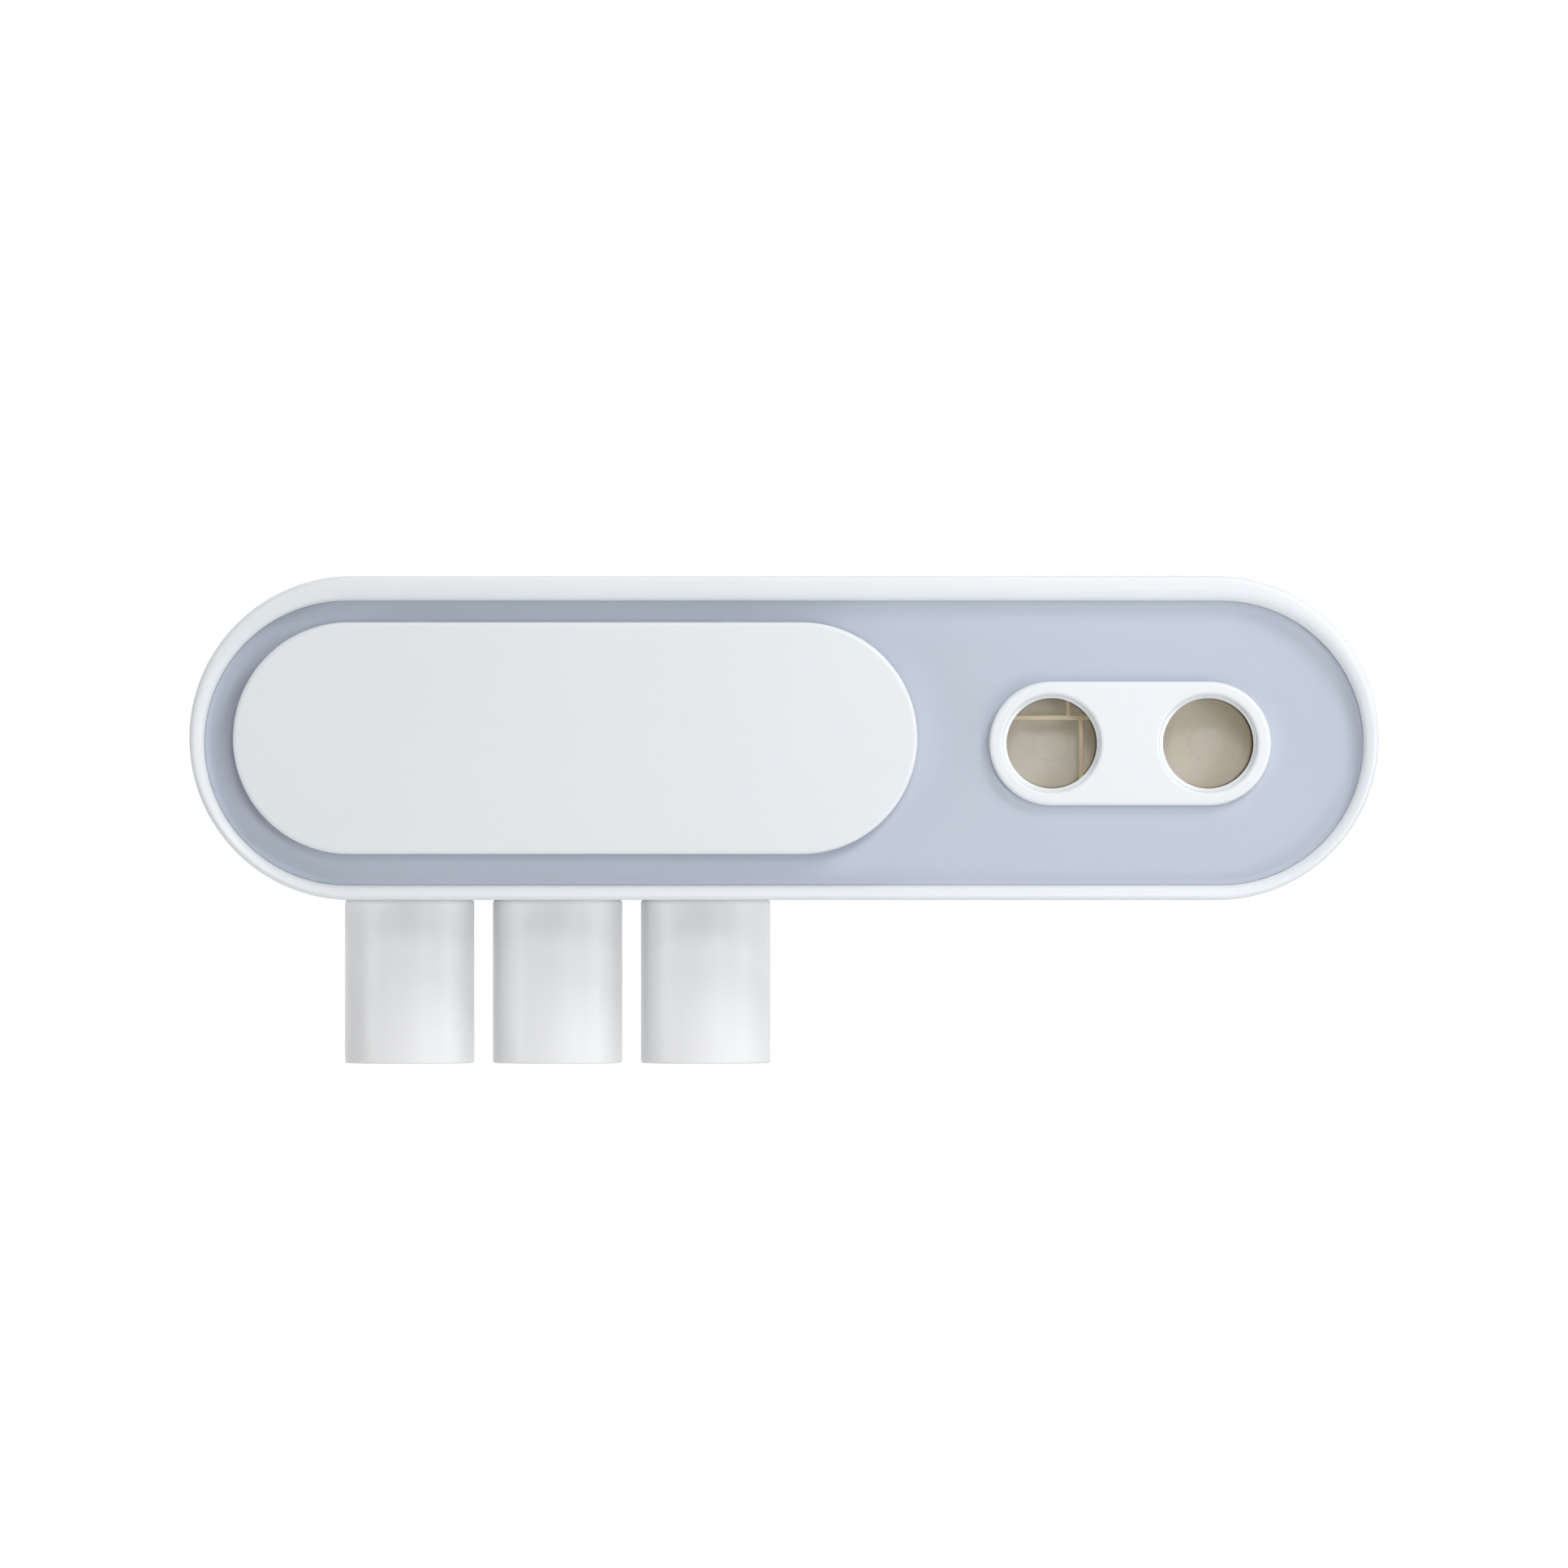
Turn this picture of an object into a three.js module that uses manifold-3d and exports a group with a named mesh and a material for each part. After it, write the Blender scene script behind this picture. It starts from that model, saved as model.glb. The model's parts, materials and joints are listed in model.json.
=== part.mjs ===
// Wall-mounted toothbrush rack: a stadium-shaped housing with a covered brush bay,
// a double toothpaste squeezer and three rinse cups that hang from magnets.
// Millimetres. Pieces are drawn with x to the right, y up and z out of the wall;
// the whole group is then turned so that +Z is up and the front faces -Y.
// The origin lies on the wall, behind the middle of the housing.
import * as THREE from "three";
import { mergeVertices } from "three/addons/utils/BufferGeometryUtils.js";
import Module from "manifold-3d";

const wasm = await Module();
wasm.setup();

// Clearances
const fit = 0.3; // between pieces that seat on or in each other
const runningGap = 0.4; // between pieces that slide or turn
const overrun = 1; // how far a cut runs past the face it opens, or a join into its neighbour

// Front layout
const coverLength = 236;
const coverHeight = 80;
const coverTopMargin = 15.8; // housing outline to the cover, above and below
const coverSideMargin = 15; // housing outline to the cover, on the left
const coverToBezel = 24.8;
const bezelLength = 97.2;
const bezelHeight = 42.8;
const bezelDrop = 1.8; // bezel centre below the housing centre
const bezelToEnd = 37; // bezel to the right end of the housing

// Depths, from the wall outwards
const adhesiveThickness = 1;
const plateThickness = 3;
const plateGap = 0.6; // wall plate to rear cover
const rearCoverThickness = 2.4;
const housingStandoff = 0.8; // back edge of the housing to the wall
const cupSetback = 4.5; // wall to the back of a cup
const cupDiameter = 45;
const cupToSlot = 1.1;
const slotWall = 1.4;
const slotWidth = 17; // handle slot, front to back
const slotToLedge = 1;
const ledgeSlope = 2;
const ledgeThickness = 2;
const panelThickness = 2.5;
const recessDepth = 8; // rim front to panel front

// Housing
const housingWall = 2.4;
const rimWidth = 5.1; // at the round ends and along the bottom
const rimTopWidth = 8.5;
const rimOuterRadius = 1;
const rimInnerRadius = 3;
const ledgeWidth = 3;
const bossRadius = 4;
const bossLength = 16;
const bossSink = 0.8; // how far a boss runs into the wall beside it
const endBossAngle = 40; // degrees above and below the middle of each round end

// Face panel
const beadWidth = 1.4;
const beadHeight = 0.5;
const hookWidth = 8;
const hookThickness = 1.5;
const hookReach = 1.2;
const hookDepth = 1.4;
const hookCount = 4; // along the top, and again along the bottom
const hookEnd = 14; // outer hooks to the ends of the straight edge

// Dust cover and its hinge
const coverDepth = 7;
const coverWall = 2;
const coverEdgeRadius = 1.5;
const hingeSetback = 1.8; // hinge axis in front of the cover's back edge
const hingePinRadius = 0.9;
const hingeBoreGap = 0.25;
const hingeEarWall = 0.95;
const hingeEarMargin = 0.1; // ear below the cover's top edge
const hingeStemInset = 0.5; // the ear's stem is this much slimmer than its eye, on each side
const hingeEarWidth = 6;
const hingeSpread = 55; // each hinge to the middle of the cover
const knuckleWidth = 3;
const catchAngle = 58; // degrees below the middle of each round end of the cover
const catchPlateRadius = 3.2;
const catchPlateThickness = 1.2;
const catchMagnetRadius = 3;
const catchMagnetLength = 3.5;
const catchBossWall = 1.2;
const catchPlateBossWall = 1;

// Brush bay and comb
const bayInset = 9.5; // cover outline to the inside of the bay
const bayWall = 2;
const bayFlangeInset = 1; // cover outline to the edge of the bay's flange
const bayFlangeThickness = 2.2;
const bayScrewAngle = 22;
const brushPitch = 34;
const brushSlot = 8.5;
const brushSlotDepth = 10;
const handleRoom = 16;
const combDepth = 14;
const combThickness = 2.5;
const combUpstand = 10;
const combLevel = -1; // top of the comb, from the housing centre
const combEnd = 23; // comb beyond the outer brush slots

// Cups
const cupCount = 3;
const cupHeight = 57;
const cupWall = 1.8;
const cupBase = 3.4;
const cupEdgeRadius = 1.6;
const cupGap = 6.5;
const cupRowShift = -6.8; // middle of the cup row, from the middle of the cover
const cupDiscRadius = 11;
const cupDiscThickness = 1;
const cupMagnetRadius = 10;
const cupMagnetThickness = 3;
const carrierThickness = 4.6;
const carrierMargin = 5;

// Squeezer
const portSpacing = 54;
const portRadius = 16.8;
const throatRadius = 15.8;
const bezelThickness = 4;
const bezelEdgeRadius = 1.4;
const sleeveWall = 1.6;
const plungerRadius = 15.9;
const plungerFlange = 1.6;
const plungerSkirt = 9;
const plungerWall = 2.4;
const plungerDish = 1.2;
const plungerChamfer = 1;
const plungerRim = 3.5; // flat ring round the plunger's face
const plungerDishRadius = 5.7;
const plungerDishEdge = 0.7; // width of the slope round the dish
const plungerDishSlope = 0.3; // its height
const plungerTravel = 14;
const barrelWall = 2.6;
const barrelFlangeThickness = 4;
const backThickness = 3;
const postRadius = 4;
const ribThickness = 3;
const screwRise = 15.5; // squeezer screws above and below the port line
const screwSide = 8; // squeezer screws to each side of the middle
const barRise = 8; // bar across the left barrel, above the port centre
const barHeight = 1.6;
const barDepth = 4;
const barPostShift = 5.9; // post above the bar, right of the port centre
const barPostWidth = 1.4;
const barLegShift = 10.4; // rib below the bar, right of the port centre
const barLegWidth = 1.6;

// Toothpaste inlets
const wellRadius = 15;
const wellWall = 1.8;
const wellDepth = 25;
const wellFloor = 2;
const deckWidth = 36;
const deckThickness = 1.2;
const collarRadius = 8;
const collarBore = 5;
const collarFlangeRadius = 11.5;
const collarFlangeThickness = 2;
const collarChamfer = 1;
const inletWall = 2.2;
const valveRadius = 3.8;
const valveBore = 1.6;
const valveTipRadius = 2.3;
const valveTaper = 2;
const valveFlangeThickness = 1.6;
const valveReach = 1; // valve tip into the barrel
const faceToValve = 0.8; // plunger face to the valve, along the barrel

// Springs and bellows
const springRadius = 11.5; // middle of the wire
const springWire = 0.65;
const springTurns = 5;
const bellowsRadius = 8;
const bellowsFold = 2;
const bellowsWall = 0.8;
const bellowsFolds = 3;

// Wall plate
const plateLength = 240;
const plateHeight = 60;
const adhesiveInset = 2;
const studSpread = 85;
const studRadius = 4;
const studHeadRadius = 7;
const studHeadThickness = 2.4;
const liftTravel = 12;

// Screws
const screwRadius = 1.2;
const screwHeadRadius = 2.6;
const screwHeadHeight = 1.8;
const screwHeadTop = 1.8; // radius of the head's flat top
const screwHeadRim = 0.9; // height of the head's straight side
const screwGap = 0.3; // shank to hole
const rearScrewLength = 14;
const shortScrewLength = 4.2;
const combScrewLength = 5;
const carrierScrewLength = 6;
const squeezerScrewLength = 10;
const backScrewLength = 13;

// Facets
const endSteps = 12; // each round end of a large stadium
const roundSides = 20;
const smallSides = 8;
const screwSides = 6;
const filletSteps = 2;
const rollSteps = 3; // the rim's inner edge

// Worked out from the values above
const bodyLength = coverSideMargin + coverLength + coverToBezel + bezelLength + bezelToEnd;
const bodyHeight = coverHeight + 2 * coverTopMargin;
const bottom = -bodyHeight / 2;
const coverX = -bodyLength / 2 + coverSideMargin + coverLength / 2;
const squeezerX = bodyLength / 2 - bezelToEnd - bezelLength / 2;
const squeezerY = -bezelDrop;

const rearCoverBack = adhesiveThickness + plateThickness + plateGap;
const rearCoverFront = rearCoverBack + rearCoverThickness;
const cupFront = cupSetback + cupDiameter;
const slotBack = cupFront + cupToSlot + slotWall;
const slotFront = slotBack + slotWidth;
const ledgeBack = slotFront + slotWall + slotToLedge + ledgeSlope;
const ledgeFront = ledgeBack + ledgeThickness;
const panelBack = ledgeFront + fit;
const panelFront = panelBack + panelThickness;
const rimFront = panelFront + recessDepth;
const recessLength = bodyLength - 2 * rimWidth;
const recessHeight = bodyHeight - rimWidth - rimTopWidth;
const recessY = (rimWidth - rimTopWidth) / 2; // middle of the recess that holds the panel

const earRadius = hingePinRadius + hingeBoreGap + hingeEarWall;
const earStem = earRadius - hingeStemInset; // half the height of an ear's stem
const hingeDrop = earRadius + hingeEarMargin;
const swing = Math.hypot(hingeDrop, hingeSetback); // the cover's top back edge, from the axis
const coverBack = panelFront + swing - hingeSetback + fit;
const coverFront = coverBack + coverDepth;
const catchInset = coverWall + catchPlateRadius + fit; // catch centre in from the cover's outline
const hingeY = coverHeight / 2 - hingeDrop;
const hingeZ = coverBack + hingeSetback;

const bayLength = coverLength - 2 * bayInset;
const bayHeight = coverHeight - 2 * bayInset;
const bayFront = panelBack - fit;
const slotLength = bayLength - bayHeight;
const slotZ = (slotBack + slotFront) / 2;
const brushCount = Math.floor((slotLength - handleRoom) / brushPitch) + 1;
const combBack = slotBack + fit;
const combFront = combBack + combDepth;
const combScrewLevel = combLevel + combUpstand / 2;

const cupPitch = cupDiameter + cupGap;
const cupZ = cupSetback + cupDiameter / 2;
const cupsX = coverX + cupRowShift;
const carrierBottom = bottom + housingWall + fit;

const barrelFront = panelBack - fit;
const wellZ = ledgeBack - ledgeSlope - slotToLedge - wellRadius;
const faceZ = wellZ - valveRadius - faceToValve;
const boreRadius = plungerRadius + runningGap;
const flangeRadius = plungerRadius + plungerFlange;
const rearBoreRadius = flangeRadius + runningGap;
const barrelRadius = rearBoreRadius + barrelWall;
const flangeBack = faceZ - plungerSkirt;
const stopZ = flangeBack + plungerWall + fit;
const barrelBack = flangeBack - plungerTravel - runningGap;
const bezelBack = panelFront + fit;
const bezelFront = bezelBack + bezelThickness;
const sleeveRadius = portRadius + sleeveWall;
const sleeveFront = bezelBack - fit;
const squeezerScrewSeat = barrelFront - barrelFlangeThickness - fit;

const deckTop = bodyHeight / 2 + fit / 2;
const deckBottom = deckTop - deckThickness;
const wellFloorTop = deckTop - wellDepth;
const inletTop = wellFloorTop - wellFloor - fit;
const pocketFloor = boreRadius + inletWall; // above the barrel's own axis

// Outlines and solids

// Stations round a stadium, counterclockwise from the front: a centre and a direction each.
function stadiumStations(length, height, steps) {
  const stations = [];
  for (const end of [1, -1]) {
    for (let i = 0; i <= steps; i++) {
      const turn = Math.PI * (i / steps - end / 2);
      stations.push({ x: (end * (length - height)) / 2, across: Math.cos(turn), up: Math.sin(turn) });
    }
  }
  return stations;
}

// Sweeps a section of [inset, z] pairs round a stadium. An open section gets flat ends and runs
// from the back to the front; a closed one lists its outer wall from the back to the front first.
function sweepStadium(length, height, section, closed, steps = endSteps) {
  const stations = stadiumStations(length, height, steps);
  const rows = section.length;
  const vertices = [];
  for (const { x, across, up } of stations) {
    for (const [inset, z] of section) {
      const radius = height / 2 - inset;
      vertices.push(x + across * radius, up * radius, z);
    }
  }
  const faces = [];
  const lastRow = closed ? rows : rows - 1;
  stations.forEach((_, i) => {
    const next = (i + 1) % stations.length;
    for (let j = 0; j < lastRow; j++) {
      const a = i * rows + j;
      const b = next * rows + j;
      const c = next * rows + ((j + 1) % rows);
      const d = i * rows + ((j + 1) % rows);
      faces.push(a, b, c, a, c, d);
    }
    if (!closed && i > 0 && i < stations.length - 1) {
      faces.push(0, next * rows, i * rows);
      faces.push(rows - 1, i * rows + rows - 1, next * rows + rows - 1);
    }
  });
  const geometry = new THREE.BufferGeometry();
  geometry.setAttribute("position", new THREE.Float32BufferAttribute(vertices, 3));
  geometry.setIndex(faces);
  return geometry;
}

// A plain stadium prism between two depths.
function stadiumPrism(length, height, back, front, steps = endSteps) {
  return sweepStadium(length, height, [[0, back], [0, front]], false, steps);
}

// Points of a quarter round in a section, from one angle to another, in degrees.
function quarterRound(inset, z, radius, from, to, steps = filletSteps) {
  const points = [];
  for (let i = 0; i <= steps; i++) {
    const turn = THREE.MathUtils.degToRad(from + ((to - from) * i) / steps);
    points.push([inset + radius * Math.cos(turn), z + radius * Math.sin(turn)]);
  }
  return points;
}

// A flat outline of a stadium, as a shape.
function stadiumShape(length, height) {
  const half = (length - height) / 2;
  const shape = new THREE.Shape();
  shape.absarc(half, 0, height / 2, -Math.PI / 2, Math.PI / 2);
  shape.absarc(-half, 0, height / 2, Math.PI / 2, (3 * Math.PI) / 2);
  return shape;
}

// Extrudes an outline drawn in x and z downwards from a level.
function slab(shape, top, thickness, curveSegments = smallSides) {
  const options = { depth: thickness, bevelEnabled: false, curveSegments };
  return new THREE.ExtrudeGeometry(shape, options).rotateX(Math.PI / 2).translate(0, top, 0);
}

// Extrudes an outline drawn in z and y along x, centred on a place.
function ribAlongX(shape, width, x) {
  const options = { depth: width, bevelEnabled: false, curveSegments: smallSides };
  return new THREE.ExtrudeGeometry(shape, options).rotateY(-Math.PI / 2).translate(x + width / 2, 0, 0);
}

// A round bar along z, or along y for the upright one.
function barAlongZ(radius, back, front, x, y, sides = roundSides) {
  const bar = new THREE.CylinderGeometry(radius, radius, front - back, sides);
  return bar.rotateX(Math.PI / 2).translate(x, y, (back + front) / 2);
}

function barUpright(radius, low, high, x, z, sides = roundSides) {
  const bar = new THREE.CylinderGeometry(radius, radius, high - low, sides);
  return bar.translate(x, (low + high) / 2, z);
}

function block(x0, x1, y0, y1, z0, z1) {
  const box = new THREE.BoxGeometry(x1 - x0, y1 - y0, z1 - z0);
  return box.translate((x0 + x1) / 2, (y0 + y1) / 2, (z0 + z1) / 2);
}

// A body turned about y from [radius, y] pairs that run up its outside.
function turned(profile, sides = roundSides) {
  const points = profile.map(([radius, y]) => new THREE.Vector2(radius, y));
  return new THREE.LatheGeometry(points, sides);
}

// The same about z, with the profile's second value as depth.
function turnedAboutZ(profile, sides = roundSides) {
  return turned(profile, sides).rotateX(Math.PI / 2);
}

function toSolid(geometry) {
  const bare = geometry.clone();
  bare.deleteAttribute("normal");
  bare.deleteAttribute("uv");
  const merged = mergeVertices(bare, 1e-4);
  const mesh = new wasm.Mesh({
    numProp: 3,
    vertProperties: merged.attributes.position.array,
    triVerts: new Uint32Array(merged.index.array),
  });
  return new wasm.Manifold(mesh);
}

function toGeometry(solid) {
  const mesh = solid.getMesh();
  const geometry = new THREE.BufferGeometry();
  geometry.setAttribute("position", new THREE.BufferAttribute(mesh.vertProperties, 3));
  geometry.setIndex(new THREE.BufferAttribute(mesh.triVerts, 1));
  return geometry;
}

// Joins the first list and takes the second one away.
function carve(joined, taken = []) {
  let solid = toSolid(joined[0]);
  for (const geometry of joined.slice(1)) {
    solid = solid.add(toSolid(geometry));
  }
  for (const geometry of taken) {
    solid = solid.subtract(toSolid(geometry));
  }
  return toGeometry(solid);
}

// Places that several pieces share

// A point on one of a stadium's round ends, inset from its outline, at an angle above the middle.
function onRoundEnd(length, height, end, inset, degrees) {
  const turn = THREE.MathUtils.degToRad(degrees);
  const radius = height / 2 - inset;
  return [end * ((length - height) / 2 + radius * Math.cos(turn)), radius * Math.sin(turn)];
}

function rearScrewPlaces() {
  const inset = housingWall + bossRadius - bossSink;
  const middleX = (coverX + coverLength / 2 + squeezerX - bezelLength / 2) / 2;
  const places = [[middleX, bodyHeight / 2 - inset], [middleX, inset - bodyHeight / 2]];
  for (const end of [-1, 1]) {
    for (const side of [-1, 1]) {
      places.push(onRoundEnd(bodyLength, bodyHeight, end, inset, side * endBossAngle));
    }
  }
  return places;
}

function bayScrewPlaces() {
  const inset = (bayInset - bayWall + bayFlangeInset) / 2;
  const places = [];
  for (const end of [-1, 1]) {
    for (const side of [-1, 1]) {
      const [x, y] = onRoundEnd(coverLength, coverHeight, end, inset, side * bayScrewAngle);
      places.push([coverX + x, y]);
    }
  }
  return places;
}

function catchPlaces() {
  return [-1, 1].map((end) => {
    const [x, y] = onRoundEnd(coverLength, coverHeight, end, catchInset, -catchAngle);
    return [coverX + x, y];
  });
}

const sideNames = ["left", "right"];
const hookPitch = (bodyLength - bodyHeight - 2 * hookEnd) / (hookCount - 1);
const hookPlaces = Array.from({ length: hookCount }, (_, i) => (i - (hookCount - 1) / 2) * hookPitch);
const hingePlaces = [coverX - hingeSpread, coverX + hingeSpread];
const portPlaces = [squeezerX - portSpacing / 2, squeezerX + portSpacing / 2];
const brushPlaces = Array.from({ length: brushCount }, (_, i) => (i - (brushCount - 1) / 2) * brushPitch);
const combScrewPlaces = [brushPlaces.slice(0, 2), brushPlaces.slice(-2)].map(
  ([first, second]) => coverX + (first + second) / 2,
);
const cupPlaces = Array.from({ length: cupCount }, (_, i) => cupsX + (i - (cupCount - 1) / 2) * cupPitch);
const carrierScrewPlaces = cupPlaces.slice(1).map((x) => x - cupPitch / 2);
const squeezerScrewPlaces = [-1, 1].flatMap((side) =>
  [-1, 1].map((level) => [squeezerX + side * screwSide, squeezerY + level * screwRise]),
);
const backScrewPlaces = [-1, 1].map((level) => [squeezerX, squeezerY + level * screwRise]);

// Wall plate and adhesive

function adhesiveSheet() {
  const length = plateLength - 2 * adhesiveInset;
  return stadiumPrism(length, plateHeight - 2 * adhesiveInset, 0, adhesiveThickness);
}

function wallPlate() {
  const front = adhesiveThickness + plateThickness;
  const headBack = rearCoverFront + runningGap;
  const joined = [stadiumPrism(plateLength, plateHeight, adhesiveThickness, front)];
  for (const x of [-studSpread, studSpread]) {
    joined.push(barAlongZ(studRadius, front - overrun, headBack + overrun, x, 0, smallSides * 2));
    joined.push(barAlongZ(studHeadRadius, headBack, headBack + studHeadThickness, x, 0, smallSides * 2));
  }
  return carve(joined);
}

// Housing, rear cover and panel

// The housing without its bosses and openings: walls, a rounded rim and the ledge behind it.
function housingShell() {
  const edge = quarterRound(rimOuterRadius, rimFront - rimOuterRadius, rimOuterRadius, 180, 90);
  const outer = sweepStadium(bodyLength, bodyHeight, [[0, housingStandoff], ...edge], false);
  const hollow = sweepStadium(
    bodyLength,
    bodyHeight,
    [
      [housingWall, housingStandoff - overrun],
      [housingWall, ledgeBack - ledgeSlope],
      [rimWidth + ledgeWidth, ledgeBack],
    ],
    false,
  );
  const across = 2 * ledgeWidth;
  const doorway = stadiumPrism(recessLength - across, recessHeight - across, ledgeBack - overrun, rimFront);
  const roll = quarterRound(-rimInnerRadius, rimFront - rimInnerRadius, rimInnerRadius, 0, 90, rollSteps);
  const recess = sweepStadium(
    recessLength,
    recessHeight,
    [[0, ledgeFront], ...roll, [-rimInnerRadius, rimFront + overrun]],
    false,
  );
  return carve([outer], [hollow, doorway.translate(0, recessY, 0), recess.translate(0, recessY, 0)]);
}

function housing() {
  const joined = [housingShell()];
  const taken = [];
  const bossBack = rearCoverFront + fit;
  const hole = screwRadius + screwGap;
  for (const [x, y] of rearScrewPlaces()) {
    joined.push(barAlongZ(bossRadius, bossBack, bossBack + bossLength, x, y, smallSides));
    taken.push(barAlongZ(hole, bossBack - overrun, rearCoverBack + rearScrewLength + fit, x, y, smallSides));
  }
  // Bosses on the floor that the magnet carrier drops over
  for (const x of carrierScrewPlaces) {
    const top = carrierBottom + carrierThickness - fit;
    joined.push(barUpright(screwHeadRadius, bottom + housingWall / 2, top, x, cupZ, smallSides));
    taken.push(barUpright(hole, top - carrierScrewLength, top + overrun, x, cupZ, smallSides));
  }
  const slotCut = stadiumShape(slotLength + 2 * (slotWall + fit), slotWidth + 2 * (slotWall + fit));
  taken.push(slab(slotCut, bottom + 2 * housingWall, 3 * housingWall).translate(coverX, 0, slotZ));
  const deckCut = stadiumShape(portSpacing + deckWidth + 2 * fit, deckWidth + 2 * fit);
  const above = bodyHeight / 2 + overrun;
  taken.push(slab(deckCut, above, above - deckBottom + fit).translate(squeezerX, 0, wellZ));
  for (const x of portPlaces) {
    taken.push(barUpright(wellRadius + fit, bodyHeight / 2 - 2 * housingWall, above, x, wellZ));
  }
  return carve(joined, taken);
}

function rearCover() {
  const inset = housingWall + fit;
  const length = bodyLength - 2 * inset;
  const taken = [];
  const back = rearCoverBack - overrun;
  const front = rearCoverFront + overrun;
  for (const [x, y] of rearScrewPlaces()) {
    taken.push(barAlongZ(screwRadius + screwGap, back, front, x, y, smallSides));
  }
  for (const x of [-studSpread, studSpread]) {
    const slotRadius = studRadius + fit;
    taken.push(barAlongZ(slotRadius, back, front, x, 0, smallSides * 2));
    taken.push(block(x - slotRadius, x + slotRadius, -liftTravel, 0, back, front));
    taken.push(barAlongZ(studHeadRadius + 2 * fit, back, front, x, -liftTravel, smallSides * 2));
  }
  return carve([stadiumPrism(length, bodyHeight - 2 * inset, rearCoverBack, rearCoverFront)], taken);
}

// A snap hook behind the panel's edge: a leg with a barb that catches the ledge.
function panelHook(x, side) {
  const legOut = recessHeight / 2 - ledgeWidth - runningGap;
  const barbTop = ledgeBack - 2 * fit;
  const tip = barbTop - hookDepth;
  const shape = new THREE.Shape();
  shape.moveTo(panelBack + panelThickness / 2, side * (legOut - hookThickness));
  shape.lineTo(tip, side * (legOut - hookThickness));
  shape.lineTo(tip, side * legOut);
  shape.lineTo(barbTop, side * (legOut + hookReach));
  shape.lineTo(barbTop, side * legOut);
  shape.lineTo(panelBack + panelThickness / 2, side * legOut);
  return ribAlongX(shape, hookWidth, x).translate(0, recessY, 0);
}

function facePanel() {
  const length = recessLength - 2 * fit;
  const height = recessHeight - 2 * fit;
  const bead = [
    [0, panelFront - panelThickness / 2],
    [0, panelFront],
    ...quarterRound(beadWidth / 2, panelFront, beadWidth / 2, 180, 0).map(([at, z]) => [
      at,
      panelFront + ((z - panelFront) * beadHeight * 2) / beadWidth,
    ]),
    [beadWidth, panelFront - panelThickness / 2],
  ];
  const joined = [
    stadiumPrism(length, height, panelBack, panelFront).translate(0, recessY, 0),
    sweepStadium(length, height, bead, true).translate(0, recessY, 0),
  ];
  for (const x of hookPlaces) {
    joined.push(panelHook(x, 1), panelHook(x, -1));
  }
  const back = panelBack - overrun;
  const front = panelFront + overrun;
  const taken = [stadiumPrism(bayLength, bayHeight, back, front).translate(coverX, 0, 0)];
  const hole = screwRadius + screwGap;
  const bossBack = bayFront - bayFlangeThickness;
  for (const [x, y] of bayScrewPlaces()) {
    joined.push(barAlongZ(screwHeadRadius, bossBack, panelBack + overrun, x, y, smallSides));
    taken.push(barAlongZ(hole, bossBack - overrun, panelFront - overrun, x, y, smallSides));
  }
  for (const x of hingePlaces) {
    const half = hingeEarWidth / 2 + fit;
    const reach = earStem + fit;
    taken.push(block(x - half, x + half, hingeY - reach, hingeY + reach, back, front));
  }
  for (const x of portPlaces) {
    taken.push(barAlongZ(sleeveRadius + fit, back, front, x, squeezerY));
  }
  for (const [x, y] of squeezerScrewPlaces) {
    taken.push(barAlongZ(hole, back, front, x, y, smallSides));
  }
  return carve(joined, taken);
}

// Brush bay, comb and dust cover

function hingeEar(x) {
  const foot = bayFront - bayFlangeThickness;
  const left = x - hingeEarWidth / 2;
  const right = x + hingeEarWidth / 2;
  return [
    block(left, right, hingeY - earStem, hingeY + earStem, foot, hingeZ),
    barAlongX(earRadius, left, right, hingeY, hingeZ),
  ];
}

// A round bar along x, for the hinge.
function barAlongX(radius, left, right, y, z) {
  const bar = new THREE.CylinderGeometry(radius, radius, right - left, smallSides);
  return bar.rotateZ(Math.PI / 2).translate((left + right) / 2, y, z);
}

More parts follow.
